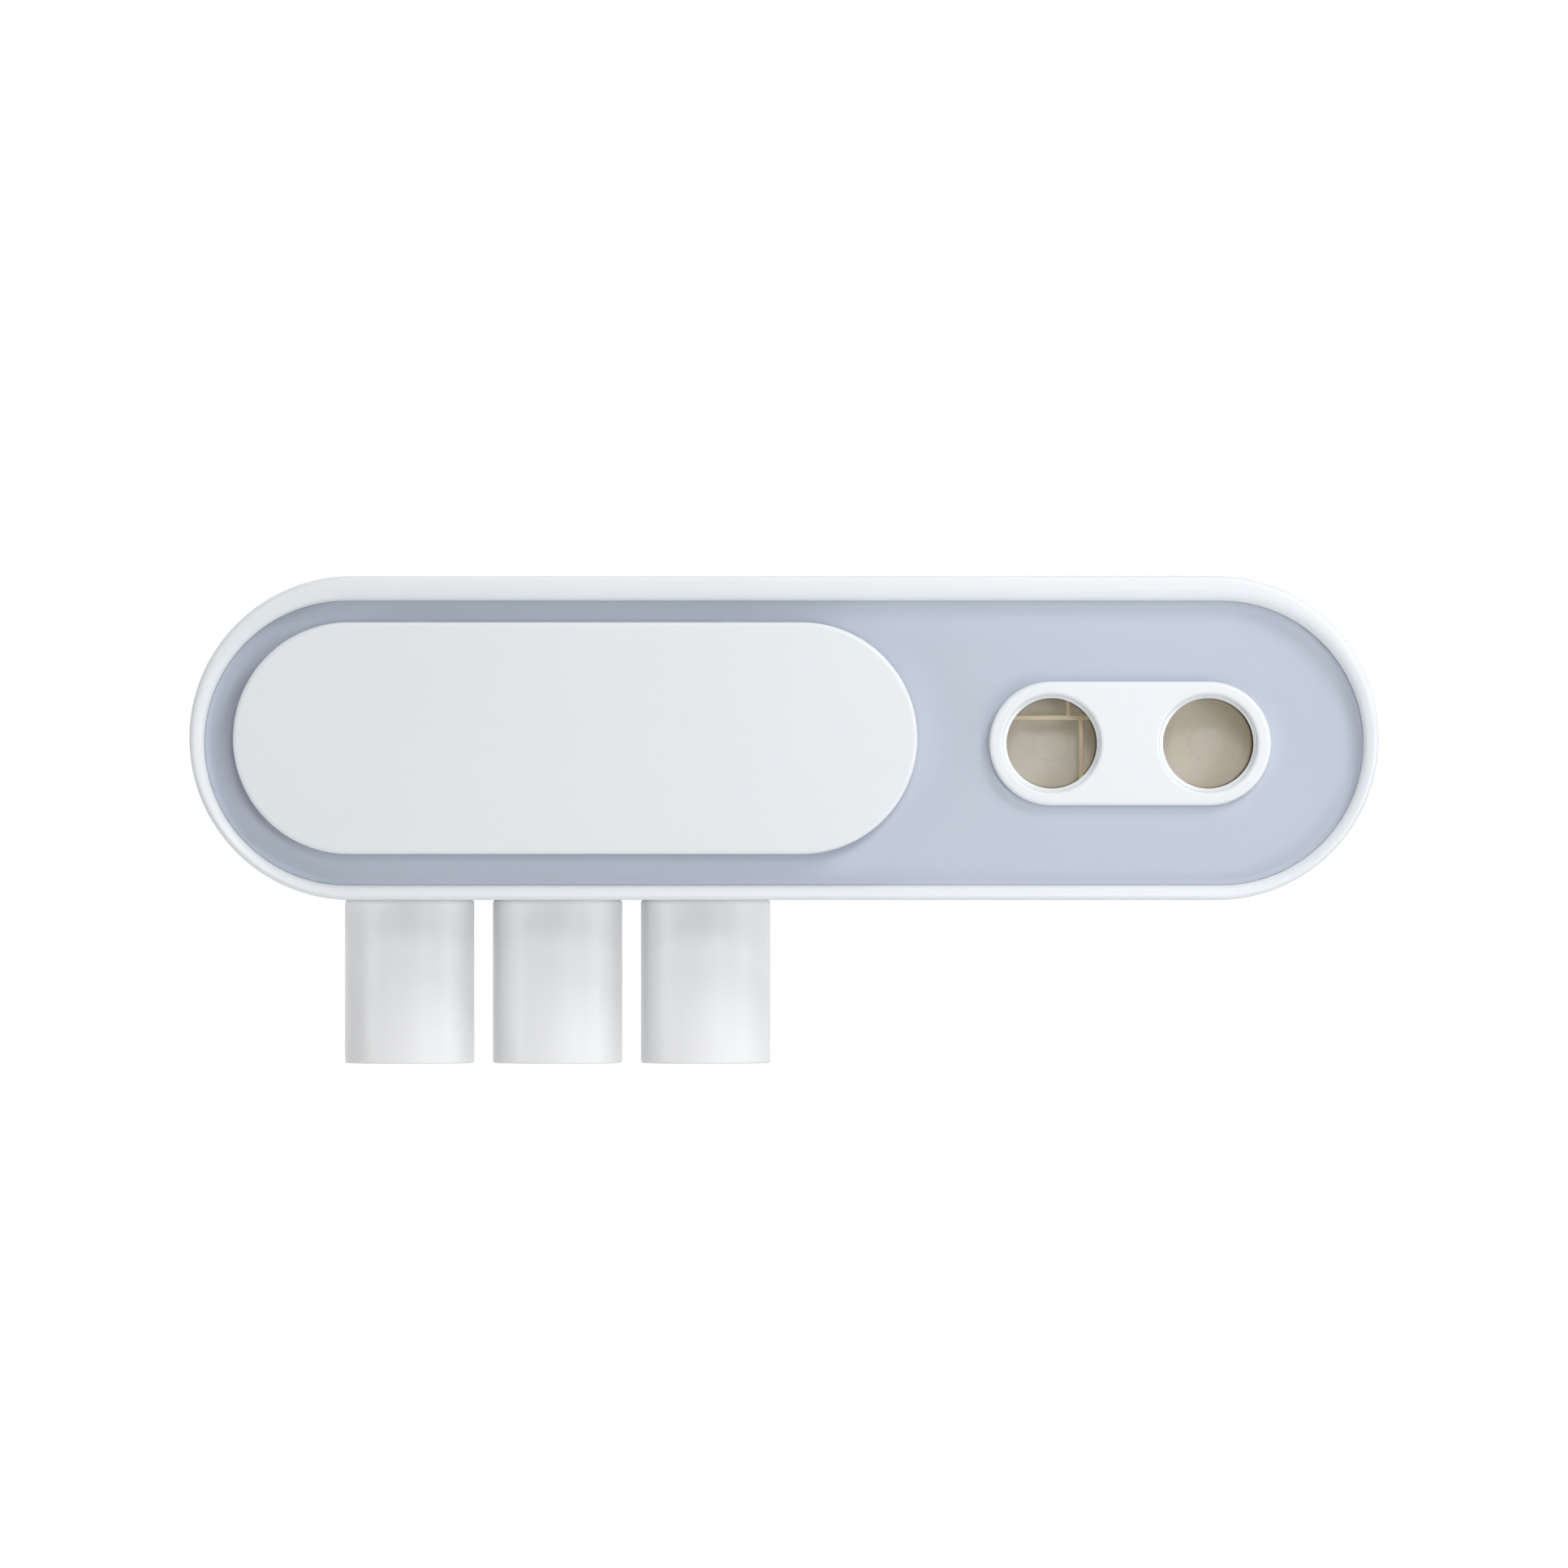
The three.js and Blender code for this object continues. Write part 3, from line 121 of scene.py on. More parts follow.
def drawOutline(bm, corners, place, openAt=None):
    # corners are (across, along, rounding); an edge that lies on openAt is left out
    verts = [bm.verts.new(place(across, along)) for across, along, rounding in corners]
    bm.faces.new(verts)
    shut = {vert for vert, corner in zip(verts, corners) if corner[0] == openAt}
    for vert, (across, along, rounding) in zip(verts, corners):
        if rounding:
            bmesh.ops.bevel(bm, geom=[vert], offset=rounding, offset_type="OFFSET", affect="VERTICES",
                            segments=cornerSteps, profile=0.5, clamp_overlap=False, material=-1)
    bmesh.ops.remove_doubles(bm, verts=bm.verts, dist=1e-7)
    face = bm.faces[:][0]
    outline = [edge for edge in face.edges if not shut.issuperset(edge.verts)]
    dropped = [edge for edge in face.edges if shut.issuperset(edge.verts)]
    return face, outline, dropped


def keepOutline(bm, corners, place, openAt=None):
    face, outline, dropped = drawOutline(bm, corners, place, openAt)
    bmesh.ops.delete(bm, geom=[face], context="FACES_ONLY")
    for edge in dropped:
        bm.edges.remove(edge)
    return outline


def closeForm(bm):
    bmesh.ops.remove_doubles(bm, verts=bm.verts, dist=1e-6)
    bmesh.ops.holes_fill(bm, edges=bm.edges, sides=0)
    bmesh.ops.recalc_face_normals(bm, faces=bm.faces)
    return bm


def stadiumForm(corners, length, height, centre, openAt=None, upright=False, steps=endSteps):
    # carries an outline of (inset, depth) corners all the way round a stadium
    bm = bmesh.new()
    half = (length - height) / 2
    strip = keepOutline(bm, corners, lambda inset, depth: (half, depth, inset - height / 2), openAt)
    for side in (1, -1):
        spun = bmesh.ops.spin(bm, geom=strip, cent=(side * half, 0, 0), axis=(0, -1, 0), angle=math.pi,
                              steps=steps)
        pushed = bmesh.ops.extrude_edge_only(bm, edges=pick(spun["geom_last"], BMEdge))["geom"]
        fresh = set(pick(pushed, BMVert))
        strip = [edge for edge in pick(pushed, BMEdge) if fresh.issuperset(edge.verts)]
        bmesh.ops.translate(bm, verts=list(fresh), vec=(-side * 2 * half, 0, 0))
    closeForm(bm)
    shift = Vector((centre.x, 0, centre.z))
    if upright:
        bmesh.ops.rotate(bm, verts=bm.verts, matrix=Matrix.Rotation(math.pi / 2, 3, "X"))
        shift = Vector((centre.x, centre.y, 0))
    bmesh.ops.translate(bm, verts=bm.verts, vec=shift)
    return bm


def plateForm(length, height, centre, back, front, backRadius=0, frontRadius=0, upright=False,
              steps=endSteps):
    cap = height * 0.2
    corners = [(cap, back, 0), (0, back, backRadius), (0, front, frontRadius), (cap, front, 0)]
    return stadiumForm(corners, length, height, centre, openAt=cap, upright=upright, steps=steps)


def plateOf(node, backRadius, frontRadius, front=None):
    # a plate as large as the node, or as far forward as it is told
    low, high, mid = boxOf(node)
    return plateForm(high.x - low.x, high.z - low.z, mid, high.y, front or low.y, backRadius, frontRadius)


def turnedForm(corners, centre, axis, steps=roundSteps):
    # turns an outline of (radius, place along the axis) corners about an axis through the centre
    bm = bmesh.new()
    along = "XYZ".index(axis)
    across = (along + 1) % 3

    def place(radius, distance):
        point = Vector(centre)
        point[along] = distance
        point[across] += radius
        return point

    outline = keepOutline(bm, corners, place, openAt=0)
    direction = Vector((0, 0, 0))
    direction[along] = 1
    bmesh.ops.spin(bm, geom=outline, cent=centre, axis=direction, angle=2 * math.pi,
                   steps=steps, use_merge=True)
    return closeForm(bm)


def barForm(radius, start, end, centre, axis, rounding=0, steps=smallSteps):
    corners = [(0, start, 0), (radius, start, rounding), (radius, end, rounding), (0, end, 0)]
    return turnedForm(corners, centre, axis, steps)


def screwBars(stem, start, end, radius=screwHole, rounding=0, axis="Y"):
    # a bar at each screw of one kind, for its hole or its boss
    return [barForm(radius, start, end, boxOf(node)[2], axis, rounding) for node in screwsOf(stem)]


def blockForm(low, high, rounding=0):
    bm = bmesh.new()
    low, high = Vector(low), Vector(high)
    bmesh.ops.create_cube(bm, size=1)
    bmesh.ops.scale(bm, verts=bm.verts, vec=high - low)
    bmesh.ops.translate(bm, verts=bm.verts, vec=(low + high) / 2)
    if rounding:
        bmesh.ops.bevel(bm, geom=bm.edges[:], offset=rounding, affect="EDGES", segments=3, profile=0.5,
                        material=-1)
    return bm


def pushedForm(corners, place, push):
    # a flat outline pushed straight along a vector
    bm = bmesh.new()
    face, outline, dropped = drawOutline(bm, corners, place)
    pushed = bmesh.ops.extrude_face_region(bm, geom=[face])["geom"]
    bmesh.ops.translate(bm, verts=pick(pushed, BMVert), vec=push)
    return closeForm(bm)


# helpers: pieces

def objectFrom(name, bm):
    mesh = bpy.data.meshes.new(name)
    bm.to_mesh(mesh)
    bm.free()
    piece = bpy.data.objects.new(name, mesh)
    bpy.context.scene.collection.objects.link(piece)
    return piece


def settle(piece):
    # keeps what the modifiers make as the piece's own mesh, with stray points merged
    bpy.context.view_layer.update()
    made = bpy.data.meshes.new_from_object(piece.evaluated_get(bpy.context.evaluated_depsgraph_get()))
    piece.modifiers.clear()
    old = piece.data
    piece.data = made
    bpy.data.meshes.remove(old)
    bm = bmesh.new()
    bm.from_mesh(made)
    bmesh.ops.remove_doubles(bm, verts=bm.verts, dist=1e-6)
    bmesh.ops.dissolve_degenerate(bm, edges=bm.edges, dist=1e-6)
    bmesh.ops.recalc_face_normals(bm, faces=bm.faces)
    bm.to_mesh(made)
    bm.free()


def combine(piece, operation, forms):
    # joins all the forms to the piece, or takes them away, in one step
    if not forms:
        return
    group = bpy.data.collections.new(piece.name + "Tools")
    bpy.context.scene.collection.children.link(group)
    for form in forms:
        tool = objectFrom(piece.name + "Tool", form)
        bpy.context.scene.collection.objects.unlink(tool)
        group.objects.link(tool)
    carve = piece.modifiers.new("carve", "BOOLEAN")
    carve.operation = operation
    carve.operand_type = "COLLECTION"
    carve.collection = group
    carve.solver = "MANIFOLD"
    settle(piece)
    for tool in list(group.objects):
        bpy.data.meshes.remove(tool.data)
    bpy.data.collections.remove(group)


def finishPiece(name, node, added, taken=(), softEdge=0, addedLast=(), finish=None):
    # joins the forms, takes the others away, softens the edges and stands in for the node
    piece = objectFrom(name, added[0])
    combine(piece, "UNION", added[1:])
    combine(piece, "DIFFERENCE", taken)
    combine(piece, "UNION", addedLast)
    if softEdge:
        soften = piece.modifiers.new("soften", "BEVEL")
        soften.width = softEdge
        soften.segments = 2
        soften.limit_method = "ANGLE"
        soften.angle_limit = math.radians(50)
        settle(piece)
    piece.data.name = name
    piece.data.shade_smooth()
    piece.data.set_sharp_from_angle(angle=math.radians(sharpAngle))
    even = piece.modifiers.new("evenNormals", "WEIGHTED_NORMAL")
    even.keep_sharp = True
    piece.data.materials.clear()
    piece.data.materials.append(finish or finishes[slotOf[node]])
    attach(piece, bodyOf[node])
    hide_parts(node)
    return piece


def finishDisc(name, node, axis, edge, steps=smallSteps):
    # a pin or disc that fills its node's box
    low, high, mid = boxOf(node)
    along, size = "XYZ".index(axis), high - low
    radius = (size.z if axis == "X" else size.x) / 2
    finishPiece(name, node, [barForm(radius, low[along], high[along], mid, axis, edge, steps)])


# finishes

def setSockets(tree, node, values, wires):
    for socket, value in values.items():
        node.inputs[socket].default_value = value
    for socket, output in wires.items():
        tree.links.new(output, node.inputs[socket])


def addNode(tree, kind, values, wires, **settings):
    node = tree.nodes.new("ShaderNode" + kind)
    for name, value in settings.items():
        setattr(node, name, value)
    setSockets(tree, node, values, wires)
    return node


def newFinish(name):
    finish = bpy.data.materials.new(name)
    finish.use_nodes = True
    tree = finish.node_tree
    coords = addNode(tree, "TexCoord", {}, {}).outputs["Object"]
    return finish, tree, tree.nodes["Principled BSDF"], coords


def addNoise(tree, coords, scale, detail, roughness=0.5):
    values = {"Scale": scale, "Detail": detail, "Roughness": roughness}
    return addNode(tree, "TexNoise", values, {"Vector": coords}).outputs["Fac"]


def addRange(tree, value, low, high):
    # spreads the middle of a noise over the range
    values = {"From Min": 0.3, "From Max": 0.7, "To Min": low, "To Max": high}
    return addNode(tree, "MapRange", values, {"Value": value}).outputs["Result"]


def addTint(tree, value, colour, shade):
    # drifts between the colour and a slightly darker shade of it
    values = {"A": (*[part * (1 - shade) for part in colour], 1), "B": (*colour, 1)}
    return addNode(tree, "Mix", values, {"Factor": value}, data_type="RGBA").outputs["Result"]


def addBump(tree, height, depth, strength, below=None):
    wires = {"Height": height, "Normal": below} if below else {"Height": height}
    return addNode(tree, "Bump", {"Strength": strength, "Distance": depth}, wires).outputs["Normal"]


def mixFinish(name, look):
    # a colour that drifts, an uneven gloss and layers of fine relief, each from a noise
    finish, tree, shader, coords = newFinish(name)
    drift = addRange(tree, addNoise(tree, coords, *look["drift"]), 0, 1)
    gloss = addRange(tree, addNoise(tree, coords, *look["gloss"]), *look["roughness"])
    relief = None
    for noise, depth, strength in look["relief"]:
        relief = addBump(tree, addNoise(tree, coords, *noise), depth, strength, relief)
    tint = addTint(tree, drift, look["colour"], look["shade"])
    setSockets(tree, shader, look["sockets"], {"Base Color": tint, "Roughness": gloss, "Normal": relief})
    return finish


def mouldedPlastic(name, colour, roughness=0.38, shade=0.02, waveScale=35, grainDepth=0.012 * mm):
    # satin moulding: fine spark-eroded grain over a faint waviness, uneven gloss
    return mixFinish(name, {
        "colour": colour, "shade": shade, "drift": (11, 3),
        "gloss": (60, 4, 0.6), "roughness": (roughness - 0.05, roughness + 0.05),
        "relief": [((waveScale, 1), 0.02 * mm, 0.6), ((2600, 2, 0.7), grainDepth, 0.5)],
        "sockets": {"IOR": 1.49, "Specular IOR Level": 0.5},
    })


siliconeLook = {
    "colour": (0.66, 0.68, 0.69), "shade": 0.06, "drift": (90, 4), "gloss": (700, 3),
    "roughness": (0.55, 0.7), "relief": [((1800, 2), 0.015 * mm, 0.5)],
    "sockets": {"IOR": 1.42, "Sheen Weight": 0.15},
}
steelLook = {
    "colour": (0.56, 0.57, 0.58), "shade": 0.15, "drift": (400, 5, 0.7), "gloss": (1500, 3),
    "roughness": (0.24, 0.4), "relief": [((1500, 3), 0.006 * mm, 0.4)], "sockets": {"Metallic": 1},
}
nickelLook = {
    "colour": (0.60, 0.57, 0.52), "shade": 0.1, "drift": (160, 3), "gloss": (500, 5, 0.65),
    "roughness": (0.24, 0.36), "relief": [((500, 5, 0.65), 0.008 * mm, 0.4)], "sockets": {"Metallic": 1},
}


def stickyFoam(name):
    # closed-cell foam: small round cells that darken towards their walls
    look = {"colour": (0.72, 0.72, 0.69), "shade": 0.18, "cellScale": 900, "cellDepth": 0.15 * mm,
            "gloss": (500, 2), "roughness": (0.8, 0.95)}
    finish, tree, shader, coords = newFinish(name)
    cells = addNode(tree, "TexVoronoi", {"Scale": look["cellScale"]}, {"Vector": coords}).outputs["Distance"]
    setSockets(tree, shader, {"Specular IOR Level": 0.25}, {
        "Base Color": addTint(tree, addRange(tree, cells, 1, 0.2), look["colour"], look["shade"]),
        "Roughness": addRange(tree, addNoise(tree, coords, *look["gloss"]), *look["roughness"]),
        "Normal": addBump(tree, cells, look["cellDepth"], 0.6),
    })
    return finish


finishes = {
    "shell_white": mouldedPlastic("shellWhite", (0.825, 0.86, 0.89)),
    "cover_white": mouldedPlastic("coverWhite", (0.81, 0.845, 0.875), 0.34),
    "cup_white": mouldedPlastic("cupWhite", (0.895, 0.90, 0.91), 0.4, waveScale=25),
    "panel_blue_grey": mouldedPlastic("panelBlueGrey", (0.53, 0.575, 0.665), 0.5, grainDepth=0.018 * mm),
    "squeezer_cream": mouldedPlastic("squeezerCream", (0.79, 0.70, 0.54), 0.46, shade=0.04),
    "silicone": mixFinish("siliconeGrey", siliconeLook),
    "steel": mixFinish("turnedSteel", steelLook),
    "magnet_nickel": mixFinish("magnetNickel", nickelLook),
    "adhesive_foam": stickyFoam("adhesiveFoam"),
}
plungerFinish = mouldedPlastic("plungerPale", (0.88, 0.87, 0.84), 0.5, shade=0.03)
print("finishes mixed:", len(finishes) + 1)


# places that several pieces share

portCentres = [boxOf("plunger_" + side)[2] for side in sideNames]
portPitch = portCentres[1].x - portCentres[0].x
pinCentres = [boxOf("hinge_pin_" + side)[2] for side in sideNames]
squeezerCentre = boxOf("squeezer_bezel")[2]
coverCentre = boxOf("dust_cover")[2]
studPlaces = (-85 * mm, 85 * mm)  # the wall plate's studs and the keyholes that hang on them

panelDepths = sizesInMm(thickness=2.5, beadHeight=0.5)
panelFront = boxOf("face_panel")[0].y + panelDepths["beadHeight"]
panelBack = panelFront + panelDepths["thickness"]
seatFront = panelBack + fit  # front of what seats behind the panel

deckShape = sizesInMm(thickness=1.2, wellRadius=15, endDepth=5, endInset=0.03)
deckLow, deckHigh, deckMid = boxOf("tube_deck")
deckWidth = deckHigh.y - deckLow.y
deckLength = portPitch + deckWidth  # before its right end is trimmed
deckCentre = Vector((squeezerCentre.x, deckMid.y, 0))
deckEndRadius = deckWidth / 2 - deckShape["endInset"]  # the part of the right end below the plate
wellCentres = [Vector((port.x, deckMid.y, 0)) for port in portCentres]

bayShape = sizesInMm(
    wall=2, inset=8.5, flangeThickness=2.2, flangeHeight=78, flangeLength=234, innerCorner=2.5, cap=20,
    slotLength=156, slotWidth=17, slotWall=1.4, slotEdge=0.4, slotY=-60.5, earWidth=6, earRadius=2.1,
    earStem=1.6, pinBore=1.15, bossWall=1.2, knuckleWidth=3, knuckleGap=0.4,
)


def slotForm(wider, bottom, top, bottomEdge=0):
    # the handle slot, or its wall
    centre = Vector((coverCentre.x, bayShape["slotY"], 0))
    return plateForm(bayShape["slotLength"] + wider, bayShape["slotWidth"] + wider, centre, bottom, top,
                     bottomEdge, upright=True, steps=slotSteps)


# wall plate and its adhesive

def makeWallMount():
    shape = sizesInMm(foamEdge=0.3, plateEdge=0.7, plateFront=-4, stemRadius=4, headRadius=7,
                      headThickness=2.4, headEdge=0.6)
    edge, front = shape["foamEdge"], shape["plateFront"]
    finishPiece("adhesiveFoamSheet", "adhesive_sheet", [plateOf("adhesive_sheet", edge, edge)])
    low, high, mid = boxOf("wall_plate")
    headBack = low.y + shape["headThickness"]
    forms = [plateOf("wall_plate", edge, shape["plateEdge"], front)]
    for x in studPlaces:
        centre = Vector((x, 0, mid.z))
        forms.append(barForm(shape["stemRadius"], front + overrun, headBack - overrun, centre, "Y"))
        forms.append(barForm(shape["headRadius"], headBack, low.y, centre, "Y", shape["headEdge"]))
    finishPiece("wallPlateHanger", "wall_plate", forms)


# housing, rear cover and face panel

housingShape = sizesInMm(
    wall=2.4, rimWidth=5.1, rimOuterRadius=1.8, rimInnerRadius=3.8, backEdge=0.6, ledgeWidth=3,
    ledgeThickness=2, ledgeSlope=2, cap=20, bossRadius=4, bossBack=-7.3, bossLength=16, bossHole=11.6,
    carrierBoss=2.6,
)


def makeHousing():
    shape = housingShape
    low, high, mid = boxOf("housing")
    wall, cap, bossBack = shape["wall"], shape["cap"], shape["bossBack"]
    ledgeBack = seatFront + shape["ledgeThickness"]
    lip = shape["rimWidth"] + shape["ledgeWidth"]
    hollow = stadiumForm([
        (cap, high.y + overrun, 0), (wall, high.y + overrun, 0),
        (wall, ledgeBack + shape["ledgeSlope"], 0), (lip, ledgeBack, 0), (cap, ledgeBack, 0),
    ], high.x - low.x, high.z - low.z, mid, openAt=cap)
    # the recess for the panel lies a little below the middle and rolls out into the rim
    panelLow, panelHigh, panelMid = boxOf("face_panel")
    length, height = panelHigh.x - panelLow.x + 2 * fit, panelHigh.z - panelLow.z + 2 * fit
    across, roll, before = 2 * shape["ledgeWidth"], shape["rimInnerRadius"], low.y - hair
    doorway = plateForm(length - across, height - across, panelMid, ledgeBack + overrun, seatFront - overrun)
    recess = stadiumForm([
        (cap, seatFront, 0), (0, seatFront, 0), (0, before, roll), (-2 * roll, before, 0),
        (-2 * roll, before - overrun, 0), (cap, before - overrun, 0),
    ], length, height, panelMid, openAt=cap)
    carrierTop = boxOf("magnet_carrier")[1].z - fit
    added = [plateOf("housing", shape["backEdge"], shape["rimOuterRadius"])]
    added += screwBars("rear", bossBack, bossBack - shape["bossLength"], shape["bossRadius"], edgeRound)
    added += screwBars("carrier", low.z + wall / 2, carrierTop, shape["carrierBoss"], axis="Z")
    taken = [hollow, doorway, recess]
    taken += screwBars("rear", bossBack + overrun, bossBack - shape["bossHole"])
    taken += screwBars("carrier", boxOf("carrier_screw_1")[0].z - fit, carrierTop + overrun, axis="Z")
    taken.append(slotForm(2 * (bayShape["slotWall"] + fit), low.z - overrun, low.z + 2 * wall))
    deckBottom = deckHigh.z - deckShape["thickness"] - fit
    room, above = 2 * fit, high.z + overrun
    taken.append(plateForm(deckLength + room, deckWidth + room, deckCentre, deckBottom, above, upright=True,
                           steps=seatSteps))
    for centre in wellCentres:
        taken.append(barForm(deckShape["wellRadius"] + fit, high.z - 2 * wall, above, centre, "Z",
                             steps=wellSteps))
    # the deck's right end reaches deeper, because the housing curves down there
    taken.append(barForm(deckEndRadius + fit, high.z - deckShape["endDepth"] - fit, deckBottom + fit,
                         wellCentres[1], "Z", steps=roundSteps))
    finishPiece("housingShell", "housing", added, taken)


def makeRearCover():
    shape = sizesInMm(edge=0.5, slotRadius=4.3, keyRadius=7.6, drop=12)
    low, high, mid = boxOf("rear_cover")
    back, front = high.y + overrun, low.y - overrun
    radius, drop = shape["slotRadius"], shape["drop"]
    taken = screwBars("rear", back, front)
    for x in studPlaces:
        taken.append(barForm(radius, back, front, Vector((x, 0, 0)), "Y"))
        taken.append(blockForm((x - radius, front, -drop), (x + radius, back, 0)))
        taken.append(barForm(shape["keyRadius"], back, front, Vector((x, 0, -drop)), "Y"))
    finishPiece("rearCoverPlate", "rear_cover", [plateOf("rear_cover", shape["edge"], shape["edge"])], taken)


panelShape = {**sizesInMm(
    beadWidth=1.6, beadCrest=0.4, beadEdge=0.12, beadRound=0.6, edge=0.3, seam=0.06, cap=8, bayLength=217,
    bayHeight=61, bossRadius=2.6, sleeveRadius=18.7, hookWidth=8, hookThickness=1.5, hookReach=1.2,
    hookDepth=1.4, hookEnd=14, hookInset=3.1,
), "hookCount": 4}


def panelHooks(low, high, mid):
    # snap hooks behind the top and bottom edges
    shape = panelShape
    bodyLow, bodyHigh, bodyMid = boxOf("housing")
    straight = (bodyHigh.x - bodyLow.x) - (bodyHigh.z - bodyLow.z) - 2 * shape["hookEnd"]
    legOut = (high.z - low.z) / 2 - shape["hookInset"]
    legIn = legOut - shape["hookThickness"]
    tip, barb, root = high.y, high.y - shape["hookDepth"], (panelBack + panelFront) / 2
    corners = [(legIn, root, 0), (legIn, tip, 0), (legOut, tip, 0), (legOut + shape["hookReach"], barb, 0),
               (legOut, barb, 0), (legOut, root, 0)]
    hooks = []
    for i in range(shape["hookCount"]):
        x = straight * (i / (shape["hookCount"] - 1) - 0.5) - shape["hookWidth"] / 2
        for side in (-1, 1):
            hooks.append(pushedForm(corners, lambda up, depth: (x, depth, mid.z + side * up),
                                    (shape["hookWidth"], 0, 0)))
    return hooks


def makeFacePanel():
    shape = panelShape
    low, high, mid = boxOf("face_panel")
    front, cap = panelFront, shape["cap"]
    grow = 2 * (fit - shape["seam"])  # the seam that is seen is finer than the fit
    plate = stadiumForm([
        (cap, panelBack, 0), (0, panelBack, shape["edge"]), (0, low.y, shape["beadEdge"]),
        (shape["beadCrest"], low.y, shape["beadEdge"]), (shape["beadWidth"], front, shape["beadRound"]),
        (cap, front, 0),
    ], high.x - low.x + grow, high.z - low.z + grow, mid, openAt=cap)
    behind, before = panelBack + overrun, front - overrun
    bossBack = seatFront + bayShape["flangeThickness"]
    added = [plate, *panelHooks(low, high, mid)]
    added += screwBars("bay", bossBack, panelBack - overrun, shape["bossRadius"])
    taken = [plateForm(shape["bayLength"], shape["bayHeight"], coverCentre, behind, before)]
    taken += screwBars("bay", bossBack + overrun, front + overrun)
    half, reach = bayShape["earWidth"] / 2 + fit, bayShape["earStem"] + fit
    for pin in pinCentres:
        taken.append(blockForm((pin.x - half, before, pin.z - reach), (pin.x + half, behind, pin.z + reach)))
    for port in portCentres:
        taken.append(barForm(shape["sleeveRadius"], behind, before, port, "Y", steps=wellSteps))
    taken += screwBars("squeezer", behind, before)
    finishPiece("facePanelBlueGrey", "face_panel", added, taken)


# brush bay, comb and dust cover

def makeBrushBay():
    shape = bayShape
    low, high, mid = boxOf("brush_bay")
    front, deep, cap = seatFront, high.y, shape["cap"]  # deep is the back of the tub
    floorY, flangeBack = deep - shape["wall"], front + shape["flangeThickness"]
    innerInset, outerInset = shape["inset"], shape["inset"] - shape["wall"]
    tub = stadiumForm([
        (0, front, edgeRound), (innerInset, front, fullRound), (innerInset, floorY, shape["innerCorner"]),
        (cap, floorY, 0), (cap, deep, 0), (outerInset, deep, shape["innerCorner"]),
        (outerInset, flangeBack, softRound), (0, flangeBack, edgeRound),
    ], shape["flangeLength"], shape["flangeHeight"], coverCentre, openAt=cap)
    slotTop = innerInset - shape["flangeHeight"] / 2
    added, taken = [tub, slotForm(2 * shape["slotWall"], low.z, slotTop, shape["slotEdge"])], []
    for side in sideNames:
        magnetLow, magnetHigh, centre = boxOf("catch_magnet_" + side)
        radius, magnetBack = radiusOf("catch_magnet_" + side) + fit, magnetHigh.y + fit
        added.append(barForm(radius + shape["bossWall"], magnetBack, front, centre, "Y"))
        taken.append(barForm(radius, magnetBack + overrun, magnetLow.y - fit, centre, "Y"))
    stem = shape["earStem"]
    for pin in pinCentres:
        left, right = pin.x - shape["earWidth"] / 2, pin.x + shape["earWidth"] / 2
        added.append(blockForm((left, pin.y, pin.z - stem), (right, flangeBack, pin.z + stem)))
        added.append(barForm(shape["earRadius"], left, right, pin, "X", edgeRound))
        taken.append(barForm(shape["pinBore"], left - overrun, right + overrun, pin, "X"))
    taken.append(slotForm(0, low.z - overrun, slotTop + overrun))
    bossRoom = panelShape["bossRadius"] + fit
    taken += screwBars("bay", front + 2 * shape["flangeThickness"], front - overrun, bossRoom)
    taken += screwBars("comb", deep + overrun, floorY - overrun)
    finishPiece("brushBayTub", "brush_bay", added, taken)


def makeBrushComb():
    shape = {**sizesInMm(thickness=2.5, edge=0.9, fillet=1.6, slotWidth=8.5, slotDepth=10, pitch=34),
             "count": 5}
    low, high, mid = boxOf("brush_comb")
    shelfTop = low.z + shape["thickness"]
    upstand = high.y - shape["thickness"]
    shelf = pushedForm([
        (high.y, low.z, edgeRound), (low.y, low.z, shape["edge"]), (low.y, shelfTop, shape["edge"]),
        (upstand, shelfTop, shape["fillet"]), (upstand, high.z, shape["edge"]),
        (high.y, high.z, edgeRound),
    ], lambda depth, up: (low.x, depth, up), (high.x - low.x, 0, 0))
    taken = []
    half, slotFront, slotEnd = shape["slotWidth"] / 2, low.y - overrun, low.y + shape["slotDepth"]
    for i in range(shape["count"]):
        x = mid.x + (i - (shape["count"] - 1) / 2) * shape["pitch"]
        corners = [(x - half, slotFront, 0), (x + half, slotFront, 0), (x + half, slotEnd, half),
                   (x - half, slotEnd, half)]
        taken.append(pushedForm(corners, lambda across, depth: (across, depth, low.z - overrun),
                                (0, 0, shape["thickness"] + 2 * overrun)))
    taken += screwBars("comb", high.y + overrun, upstand - overrun)
    finishPiece("brushCombShelf", "brush_comb", [shelf], taken)


